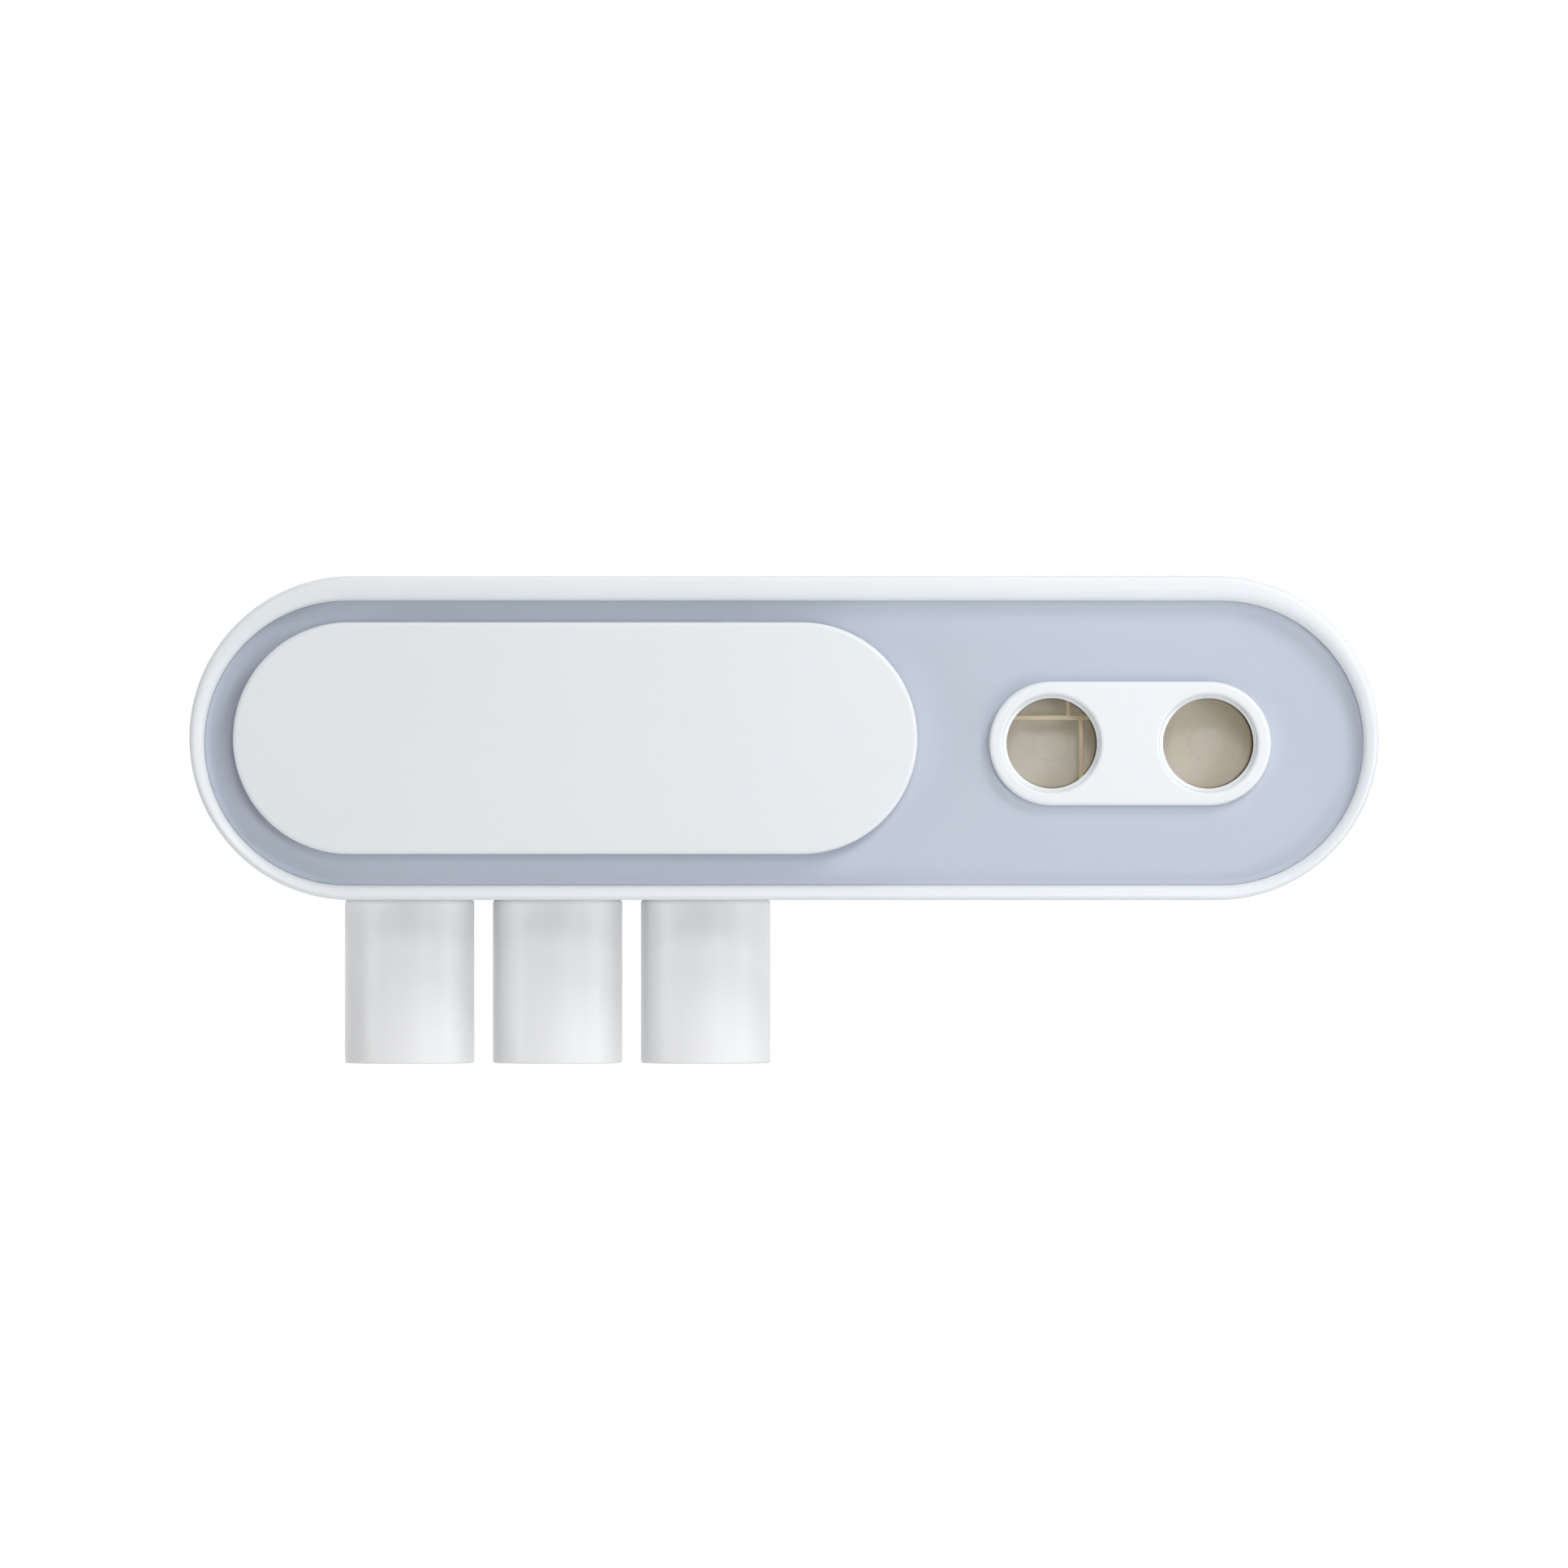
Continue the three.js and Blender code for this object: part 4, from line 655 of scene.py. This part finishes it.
def makeDustCover():
    shape = sizesInMm(depth=7, wall=2, edge=1.5, backEdge=0.4, innerCorner=0.9, catchWall=1, plateRoom=1.8,
                      cap=20)
    low, high, mid = boxOf("dust_cover")
    wall, cap = shape["wall"], shape["cap"]
    back, inside = low.y + shape["depth"], low.y + wall
    root = inside - overrun / 2  # where what stands on the inner face begins
    tray = stadiumForm([
        (0, back, shape["backEdge"]), (0, low.y, shape["edge"]), (cap, low.y, 0), (cap, inside, 0),
        (wall, inside, shape["innerCorner"]), (wall, back, shape["backEdge"]),
    ], high.x - low.x, high.z - low.z, mid, openAt=cap)
    added, taken = [tray], []
    for side in sideNames:
        node = "catch_plate_" + side
        added.append(barForm(radiusOf(node) + shape["catchWall"], back - shape["plateRoom"], root,
                             boxOf(node)[2], "Y"))
    radius, width = bayShape["earRadius"], bayShape["knuckleWidth"]
    notch = bayShape["earWidth"] / 2 + bayShape["knuckleGap"]
    reach = notch + width + overrun
    for pin in pinCentres:
        for side in (-1, 1):
            left, right = sorted((pin.x + side * notch, pin.x + side * (notch + width)))
            added.append(barForm(radius, left, right, pin, "X"))
            added.append(blockForm((left, root, pin.z - radius), (right, pin.y, high.z - wall / 2)))
        taken.append(blockForm((pin.x - notch, inside, pin.z - radius - overrun),
                               (pin.x + notch, back + overrun, high.z + overrun)))
        taken.append(barForm(bayShape["pinBore"], pin.x - reach, pin.x + reach, pin, "X"))
    finishPiece("dustCoverShell", "dust_cover", added, taken)


def makeHingeAndCatches():
    shape = sizesInMm(pinEdge=0.25, magnetEdge=0.3, plateEdge=0.2)
    for side in sideNames:
        finishDisc("hingePin" + side.title(), "hinge_pin_" + side, "X", shape["pinEdge"])
        finishDisc("catchMagnet" + side.title(), "catch_magnet_" + side, "Y", shape["magnetEdge"])
        finishDisc("catchPlate" + side.title(), "catch_plate_" + side, "Y", shape["plateEdge"])


# cups, their discs and magnets

def makeCups():
    shape = sizesInMm(wall=1.8, base=3.4, edge=1.6, lip=0.7, innerCorner=2.6, discEdge=0.2, magnetEdge=0.3)
    for i in range(cupCount):
        number = str(i + 1)
        low, high, mid = boxOf("cup_" + number)
        recessFloor, recess = boxOf("cup_disc_" + number)[0].z - fit, radiusOf("cup_disc_" + number) + fit
        radius, base = radiusOf("cup_" + number), high.z - shape["base"]
        inside = radius - shape["wall"]
        cup = turnedForm([
            (0, recessFloor, 0), (recess, recessFloor, 0), (recess, high.z, edgeRound),
            (radius, high.z, shape["edge"]), (radius, low.z, shape["lip"]), (inside, low.z, shape["lip"]),
            (inside, base, shape["innerCorner"]), (0, base, 0),
        ], mid, "Z")
        finishPiece("rinseCup" + number, "cup_" + number, [cup])
        finishDisc("cupSteelDisc" + number, "cup_disc_" + number, "Z", shape["discEdge"], wellSteps)
        finishDisc("cupMagnet" + number, "cup_magnet_" + number, "Z", shape["magnetEdge"], wellSteps)


def makeMagnetCarrier():
    shape = sizesInMm(edge=0.4, softEdge=0.2)
    low, high, mid = boxOf("magnet_carrier")
    strip = plateForm(high.x - low.x, high.y - low.y, mid, low.z, high.z, shape["edge"], shape["edge"],
                      upright=True, steps=seatSteps)
    bottom, taken = low.z - overrun, []
    for node in numbered("cup_magnet", cupCount):
        magnetLow, magnetHigh, centre = boxOf(node)
        taken.append(barForm(radiusOf(node) + fit, bottom, magnetHigh.z + fit, centre, "Z"))
    taken += screwBars("carrier", bottom, high.z + overrun, housingShape["carrierBoss"] + fit, axis="Z")
    finishPiece("magnetCarrierStrip", "magnet_carrier", [strip], taken, shape["softEdge"])


# squeezer

squeezerShape = sizesInMm(
    bezelEdge=1.4, portRadius=16.8, throatRadius=15.8, throatEdge=0.4, lining=0.2, liningGap=0.05,
    liningEdge=0.1, sleeveRadius=18.4, boreRadius=16.3, rearBore=17.9, barrelRadius=20.5, stopY=-44.5,
    flangeThickness=4, postRadius=4, ribThickness=3, inletRadius=10.5, collarPocket=8.3, valvePocket=4.1,
    pocketFloor=18.5, barRise=8, barHeight=1.6, barDepth=4, barBack=-59.8, postShift=5.9, postWidth=1.4,
    legShift=10.4, legWidth=1.6,
    ribReach=16.6,  # ends inside the barrel's wall
    apart=0.06,  # keeps faces that would share a plane off each other
)


def makeBezel():
    shape = squeezerShape
    low, high, mid = boxOf("squeezer_bezel")
    back, before = high.y + overrun, low.y - hair
    radius, lip = shape["portRadius"], shape["bezelEdge"]
    port = [(0, back, 0), (radius, back, 0), (radius, before, lip), (radius + 2 * lip, before, 0),
            (radius + 2 * lip, before - overrun, 0), (0, before - overrun, 0)]
    taken = [turnedForm(port, centre, "Y") for centre in portCentres]
    for node in screwsOf("squeezer"):
        screwLow, screwHigh, centre = boxOf(node)
        taken.append(barForm(screwHole, back, screwLow.y - fit, centre, "Y"))
    # a thin white lining runs from each port into the funnel behind it
    lining, gap = shape["lining"], shape["liningGap"]
    start = boxOf("squeezer_body")[0].y - gap
    mouth, throat = radius - fit - gap, shape["throatRadius"] - gap
    collar = [(radius + lining, start, 0), (mouth, start, 0), (throat, panelFront, 0),
              (throat - lining, panelFront, shape["liningEdge"]),
              (mouth - lining, start - lining, fineRound), (radius + lining, start - 2 * lining, 0)]
    linings = [turnedForm(collar, centre, "Y") for centre in portCentres]
    finishPiece("squeezerBezelWhite", "squeezer_bezel", [plateOf("squeezer_bezel", edgeRound, lip)], taken,
                addedLast=linings)


def leftBarrelRibs(port):
    # the bar across the left barrel, its short post and the rib below it
    shape = squeezerShape
    back, front = shape["barBack"], shape["barBack"] - shape["barDepth"]
    low, reach, apart = port.z + shape["barRise"], shape["ribReach"], shape["apart"]
    high = low + shape["barHeight"]
    ribs = [blockForm((port.x - reach, front, low), (port.x + reach, back, high), edgeRound)]
    postHalf, legHalf = shape["postWidth"] / 2, shape["legWidth"] / 2
    for shift, half, bottom, top in (
        (shape["postShift"], postHalf, low + postHalf, port.z + reach),
        (shape["legShift"], legHalf, port.z - reach + legHalf, high - legHalf),
    ):
        x = port.x + shift
        ribs.append(blockForm((x - half, front + apart, bottom), (x + half, back - apart, top), edgeRound))
    return ribs


def makeSqueezerBody():
    shape = squeezerShape
    low, high, mid = boxOf("squeezer_body")
    back, front, sleeveFront = high.y, seatFront, low.y
    behind, sleeveBack, flangeBack = back + overrun, front + overrun, front + shape["flangeThickness"]
    ribFront, half, apart = flangeBack - overrun, shape["ribThickness"] / 2, shape["apart"]
    ribBack, postBack = back - 2 * apart, back - apart
    centre, across = Vector((squeezerCentre.x, 0, portCentres[0].z)), 2 * shape["barrelRadius"]
    added = [plateForm(portPitch + across, across, centre, flangeBack, front)]
    added.append(blockForm((portCentres[0].x, ribFront + 3 * apart, centre.z - half),
                           (portCentres[1].x, ribBack - apart, centre.z + half)))
    taken = []
    for node in screwsOf("back"):
        screwLow, screwHigh, place = boxOf(node)
        bottom, top = sorted((place.z, centre.z))
        added.append(barForm(shape["postRadius"], postBack, ribFront + apart, place, "Y"))
        added.append(blockForm((place.x - half, ribFront + 2 * apart, bottom),
                               (place.x + half, ribBack, top)))
        taken.append(barForm(screwHole, behind, screwLow.y - fit, place, "Y"))
    mouth, throat = shape["portRadius"] - fit, shape["throatRadius"]
    funnel = [(0, sleeveBack, 0), (throat, sleeveBack, 0), (throat, front, shape["throatEdge"]),
              (mouth, sleeveFront, 0), (mouth, sleeveFront - overrun, 0), (0, sleeveFront - overrun, 0)]
    for port, inlet in zip(portCentres, wellCentres):
        floor = port.z + shape["pocketFloor"]
        added.append(barForm(shape["barrelRadius"] - apart, back, ribFront, port, "Y", steps=roundSteps))
        added.append(barForm(shape["sleeveRadius"], sleeveBack, sleeveFront, port, "Y", fineRound,
                             roundSteps))
        added.append(barForm(shape["inletRadius"], port.z + shape["boreRadius"], high.z, inlet, "Z",
                             steps=inletSteps))
        taken.append(barForm(shape["boreRadius"], behind, front + overrun / 2, port, "Y", steps=roundSteps))
        taken.append(barForm(shape["rearBore"], behind, shape["stopY"], port, "Y", steps=roundSteps))
        taken.append(turnedForm(funnel, port, "Y"))
        taken.append(barForm(shape["collarPocket"], floor, high.z + overrun, inlet, "Z"))
        taken.append(barForm(shape["valvePocket"], port.z, floor + overrun, inlet, "Z"))
    taken += screwBars("squeezer", flangeBack + overrun, front - overrun)
    finishPiece("squeezerBarrels", "squeezer_body", added, taken, addedLast=leftBarrelRibs(portCentres[0]))


def makeSqueezerBack():
    shape = sizesInMm(softEdge=0.2)
    low, high, mid = boxOf("squeezer_back")
    taken = screwBars("back", high.y + overrun, low.y - overrun)
    plate = plateOf("squeezer_back", softRound, edgeRound)
    finishPiece("squeezerBackPlate", "squeezer_back", [plate], taken, shape["softEdge"])


def makePlungers():
    shape = sizesInMm(flangeThickness=2.4, wall=2.4, radius=15.9, edge=1, rim=3.5, dish=1.2, dishRadius=5.7,
                      dishEdge=0.7, dishSlope=0.3)
    for side in sideNames:
        low, high, mid = boxOf("plunger_" + side)
        face, radius, flange = low.y, shape["radius"], radiusOf("plunger_" + side)
        flangeFront, dishFloor = high.y - shape["flangeThickness"], face + shape["dish"]
        inner, roof = radius - shape["wall"], dishFloor + shape["wall"]
        piston = turnedForm([
            (0, roof, 0), (inner, roof, fullRound), (inner, high.y, fineRound),
            (flange, high.y, edgeRound), (flange, flangeFront, edgeRound), (radius, flangeFront, 0),
            (radius, face, shape["edge"]), (radius - shape["rim"], face, fullRound),
            (shape["dishRadius"] + shape["dishEdge"], dishFloor - shape["dishSlope"], fineRound),
            (shape["dishRadius"], dishFloor, fineRound), (0, dishFloor, 0),
        ], mid, "Y")
        finishPiece("pumpPlunger" + side.title(), "plunger_" + side, [piston], finish=plungerFinish)


def makeSprings():
    shape = {**sizesInMm(wire=0.65, bellowsFold=2, bellowsWall=0.8, foldRound=0.5, travel=14),
             "wireSteps": 12, "turns": 5, "stepsPerTurn": 40, "folds": 3}

    def shorten(piece):
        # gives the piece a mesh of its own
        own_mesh(piece)

    for side in sideNames:
        low, high, mid = boxOf("return_spring_" + side)
        coil = radiusOf("return_spring_" + side) - shape["wire"]
        steps = shape["turns"] * shape["stepsPerTurn"]
        rise = (high.y - low.y - 2 * shape["wire"]) / steps
        bm = bmesh.new()
        start = Matrix.Translation((mid.x + coil, low.y + shape["wire"], mid.z))
        ring = bmesh.ops.create_circle(bm, cap_ends=False, radius=shape["wire"], segments=shape["wireSteps"],
                                       matrix=start)
        bmesh.ops.spin(bm, geom=list({edge for vert in ring["verts"] for edge in vert.link_edges}), cent=mid,
                       axis=(0, 1, 0), dvec=(0, rise, 0), angle=2 * math.pi * shape["turns"], steps=steps)
        spring = finishPiece("returnSpring" + side.title(), "return_spring_" + side, [closeForm(bm)])
        shorten(spring)
        low, high, mid = boxOf("pump_bellows_" + side)
        radius, count = (high.z - low.z) / 2, 2 * shape["folds"]
        outside = []
        for i in range(count + 1):
            crest = radius - (0 if i % 2 else shape["bellowsFold"])
            y, rounding = low.y + (high.y - low.y) * i / count, shape["foldRound"] if 0 < i < count else 0
            outside.append((crest, y, rounding))
        inside = [(crest - shape["bellowsWall"], y, rounding) for crest, y, rounding in reversed(outside)]
        bellows = finishPiece("pumpBellows" + side.title(), "pump_bellows_" + side,
                              [turnedForm(outside + inside, mid, "Y", wellSteps)])
        shorten(bellows)


# toothpaste inlets

def outsideRoundEnd():
    # what would stand out over the housing's right round end
    shape = {"steps": 11, "depth": 40 * mm}
    low, high, mid = boxOf("housing")
    radius, reach = (high.z - low.z) / 2, deckHigh.z - mid.z
    above = radius + 2 * overrun
    corners = []
    for i in range(shape["steps"] + 1):
        turn = math.pi * i / endSteps  # the same steps as the housing's own end
        corners.append((high.x - radius + reach * math.sin(turn), reach * math.cos(turn), 0))
    corners += [(high.x, corners[-1][1], 0), (high.x, above, 0), (corners[0][0], above, 0)]
    start = deckCentre.y - shape["depth"] / 2
    return pushedForm(corners, lambda x, z: (x, start, z), (0, shape["depth"], 0))


def makeTubeDeck():
    shape = {**deckShape, **sizesInMm(edge=0.4, wellWall=1.8, lip=0.5, floor=2, neck=8.3)}
    low, high = deckLow, deckHigh
    floorTop, above, under = low.z + shape["floor"], high.z + hair, high.z - shape["thickness"]
    root = high.z - shape["thickness"] / 2
    well, lip = shape["wellRadius"] - shape["wellWall"], shape["lip"]
    added = [plateForm(deckLength, deckWidth, deckCentre, under, high.z, 0, shape["edge"], upright=True)]
    taken = [outsideRoundEnd()]
    for centre in wellCentres:
        added.append(barForm(shape["wellRadius"], low.z, root, centre, "Z", edgeRound, roundSteps))
        taken.append(turnedForm([
            (0, floorTop, 0), (well, floorTop, softRound), (well, above, lip), (well + 2 * lip, above, 0),
            (well + 2 * lip, above + overrun, 0), (0, above + overrun, 0),
        ], centre, "Z"))
        taken.append(barForm(shape["neck"], low.z - overrun, floorTop + overrun, centre, "Z",
                             steps=wellSteps))
    added.append(barForm(deckEndRadius, high.z - shape["endDepth"], root, wellCentres[1], "Z",
                         steps=roundSteps))
    finishPiece("tubeDeckPlate", "tube_deck", added, taken)


def makeInlets():
    shape = sizesInMm(collarBore=5, collarRadius=8, collarFlange=2, collarChamfer=1, collarEdge=0.4,
                      collarCrown=0.6, valveBore=1.6, valveTip=2.3, valveRadius=3.8, valveTaper=2,
                      valveFlange=1.6)
    for side in sideNames:
        low, high, mid = boxOf("inlet_collar_" + side)
        flange, seat = radiusOf("inlet_collar_" + side), high.z - shape["collarFlange"]
        bush = turnedForm([
            (shape["collarBore"], low.z, fineRound), (shape["collarRadius"], low.z, edgeRound),
            (shape["collarRadius"], seat, fineRound), (flange, seat, shape["collarEdge"]),
            (flange, high.z, shape["collarCrown"]), (shape["collarBore"], high.z, shape["collarChamfer"]),
        ], mid, "Z", wellSteps)
        finishPiece("inletBush" + side.title(), "inlet_collar_" + side, [bush])
        low, high, mid = boxOf("inlet_valve_" + side)
        flange, seat = radiusOf("inlet_valve_" + side), high.z - shape["valveFlange"]
        nozzle = turnedForm([
            (shape["valveBore"], low.z, tinyRound), (shape["valveTip"], low.z, fineRound),
            (shape["valveRadius"], low.z + shape["valveTaper"], softRound),
            (shape["valveRadius"], seat, edgeRound), (flange, seat, fineRound),
            (flange, high.z, edgeRound), (shape["valveBore"], high.z, fineRound),
        ], mid, "Z", inletSteps)
        finishPiece("inletNozzle" + side.title(), "inlet_valve_" + side, [nozzle])


# screws

def makeScrew(node, axis, headAtHigh):
    shape = sizesInMm(shank=1.2, head=2.6, headHeight=1.8, crown=0.75, tip=1.1, crossWidth=0.75,
                      crossReach=1.5, crossDepth=1, softEdge=0.06)
    low, high, mid = boxOf(node)
    along = "XYZ".index(axis)
    top, tip = (high[along], low[along]) if headAtHigh else (low[along], high[along])
    down = 1 if tip > top else -1
    seat = top + down * shape["headHeight"]
    screw = turnedForm([
        (0, top, 0), (shape["head"], top, shape["crown"]), (shape["head"], seat, tinyRound),
        (shape["shank"], seat, tinyRound), (shape["shank"], tip - down * shape["tip"], 0), (0, tip, 0),
    ], mid, axis, smallSteps)
    # a cross recess: two short bars pressed into the head
    others = [i for i in range(3) if i != along]
    cross = []
    for long, short in (others, others[::-1]):
        size = Vector((0, 0, 0))
        size[long], size[short] = shape["crossReach"], shape["crossWidth"] / 2
        size[along] = shape["crossDepth"]
        centre = Vector(mid)
        centre[along] = top
        cross.append(blockForm(centre - size, centre + size))
    kind, word, number = node.split("_")
    finishPiece(kind + "Screw" + number, node, [screw], cross, shape["softEdge"])


def makeScrews():
    for stem in screwCounts:
        for node in screwsOf(stem):
            makeScrew(node, "Z" if stem == "carrier" else "Y", stem != "comb")


stages = {
    "wall plate": makeWallMount, "housing": makeHousing, "rear cover": makeRearCover,
    "face panel": makeFacePanel, "brush bay": makeBrushBay, "brush comb": makeBrushComb,
    "dust cover": makeDustCover, "hinge pins and catches": makeHingeAndCatches, "cups": makeCups,
    "magnet carrier": makeMagnetCarrier, "bezel": makeBezel, "squeezer body": makeSqueezerBody,
    "squeezer back": makeSqueezerBack, "plungers": makePlungers, "springs and bellows": makeSprings,
    "tube deck": makeTubeDeck, "toothpaste inlets": makeInlets, "screws": makeScrews,
}
for stage, make in stages.items():
    make()
    print(stage, "made")


# stage, lamps, camera

def makeFloor():
    shape = {"radius": 9, "steps": 96, "drop": 1.2, "colour": (0.9, 0.9, 0.9, 1), "roughness": 0.9,
             "glow": 0.62}
    bm = bmesh.new()
    bmesh.ops.create_circle(bm, cap_ends=True, radius=shape["radius"], segments=shape["steps"])
    bmesh.ops.translate(bm, verts=bm.verts, vec=(0, 0, -shape["drop"]))
    floor = objectFrom("paleFloor", bm)
    finish, tree, shader, coords = newFinish("paleFloor")
    # pale to the camera alone, and still dimmer where the rack's shadow falls
    seen = addNode(tree, "LightPath", {}, {}).outputs["Is Camera Ray"]
    glow = addNode(tree, "Math", {1: shape["glow"]}, {0: seen}, operation="MULTIPLY")
    setSockets(tree, shader, {"Base Color": shape["colour"], "Roughness": shape["roughness"],
                              "Emission Color": (1, 1, 1, 1)}, {"Emission Strength": glow.outputs[0]})
    # seen from below it is clear, so that the underside of the rack can be looked at
    side, clear = addNode(tree, "NewGeometry", {}, {}), addNode(tree, "BsdfTransparent", {}, {})
    mixed = addNode(tree, "MixShader", {}, {"Fac": side.outputs["Backfacing"], 1: shader.outputs["BSDF"],
                                            2: clear.outputs["BSDF"]})
    tree.links.new(mixed.outputs["Shader"], tree.nodes["Material Output"].inputs["Surface"])
    floor.data.materials.append(finish)


# each lamp stands off the middle of the front by angles to the right and up,
# and lights what faces it to its level
lamps = {
    "keyUpperRight": {"right": 42, "up": 36, "distance": 1.4, "size": 0.56, "level": 0.32},
    "frontHigh": {"right": 4, "up": 19, "distance": 2.2, "size": 0.5, "level": 0.1},
    "portSpot": {"right": 4, "up": 19, "distance": 1.6, "size": 0.25, "level": 0.06, "cone": 14,
                 "aim": 120 * mm},
    "frontRight": {"right": 24, "up": -4, "distance": 2.2, "size": 0.6, "level": 0.095},
    "lowRight": {"right": 46, "up": -22, "distance": 1.8, "size": 0.7, "level": 0.155},
    "lowFill": {"right": 10, "up": -50, "distance": 1.0, "size": 0.7, "level": 0.075},
    "sideLeft": {"right": -72, "up": -8, "distance": 1.6, "size": 0.6, "level": 0.2},
    "sideRight": {"right": 74, "up": -6, "distance": 1.6, "size": 0.6, "level": 0.12},
    "cupGleam": {"right": -38, "up": -12, "distance": 1.6, "size": 0.6, "level": 0.06, "gleam": True},
    "overhead": {"right": 20, "up": 84, "distance": 1.6, "size": 1.0, "level": 0.3},
    "backLeft": {"right": -150, "up": 22, "distance": 1.8, "size": 0.8, "level": 0.33, "matte": True},
    "backRight": {"right": 148, "up": 6, "distance": 1.8, "size": 0.8, "level": 0.2, "matte": True},
}
lampAim = -80 * mm  # how far out from the wall the lamps are aimed
worldLevel = 0.235


def makeLamp(name, look):
    right, up = math.radians(look["right"]), math.radians(look["up"])
    toLamp = Vector((math.sin(right) * math.cos(up), -math.cos(right) * math.cos(up), math.sin(up)))
    power = look["level"] * math.pi ** 2 * look["distance"] ** 2
    if "cone" in look:
        lamp = bpy.data.lights.new(name, "SPOT")
        lamp.spot_size = math.radians(look["cone"])
        lamp.spot_blend = 1
        lamp.shadow_soft_size = look["size"] / 2
        lamp.energy = 4 * power  # a spot's power counts as if it shone all round
    else:
        lamp = bpy.data.lights.new(name, "AREA")
        lamp.shape = "DISK"
        lamp.size = look["size"]
        lamp.energy = power
    holder = bpy.data.objects.new(name, lamp)
    holder.location = Vector((look.get("aim", 0), lampAim, 0)) + toLamp * look["distance"]
    holder.rotation_euler = (-toLamp).to_track_quat("-Z", "Y").to_euler()
    holder.visible_diffuse = not look.get("gleam")  # a gleam is seen in reflections only
    holder.visible_glossy = not look.get("matte")  # and a matte lamp is left out of them
    bpy.context.scene.collection.objects.link(holder)


def makeWorld(level):
    # white to the camera and in reflections, and dimmer as a light
    world = bpy.data.worlds.new("studioWhite")
    world.use_nodes = True
    tree = world.node_tree
    rays = addNode(tree, "LightPath", {}, {}).outputs
    seen = rays["Is Camera Ray"]
    for ray in ("Is Glossy Ray", "Is Transmission Ray"):
        seen = addNode(tree, "Math", {}, {0: seen, 1: rays[ray]}, operation="MAXIMUM").outputs[0]
    strength = addNode(tree, "MapRange", {"To Min": level, "To Max": 1}, {"Value": seen}).outputs["Result"]
    setSockets(tree, tree.nodes["Background"], {"Color": (1, 1, 1, 1)}, {"Strength": strength})
    bpy.context.scene.world = world


def makeCamera():
    view = {"distance": 6.0, "frameWidth": 0.5404, "pitch": 0.3, "aim": (0, -0.0865, -0.0158), "sensor": 36}
    lens = bpy.data.cameras.new("photoCamera")
    lens.sensor_width = view["sensor"]
    lens.lens = view["sensor"] * view["distance"] / view["frameWidth"]
    lens.clip_end = 100
    camera = bpy.data.objects.new("photoCamera", lens)
    pitch = math.radians(view["pitch"])
    back = Vector((0, -math.cos(pitch), math.sin(pitch)))
    camera.location = Vector(view["aim"]) + back * view["distance"]
    camera.rotation_euler = (-back).to_track_quat("-Z", "Y").to_euler()
    bpy.context.scene.collection.objects.link(camera)
    bpy.context.scene.camera = camera


makeFloor()
makeWorld(worldLevel)
for name, lamp in lamps.items():
    makeLamp(name, lamp)
makeCamera()
bpy.context.scene.view_settings.view_transform = "Standard"
print("stage set")
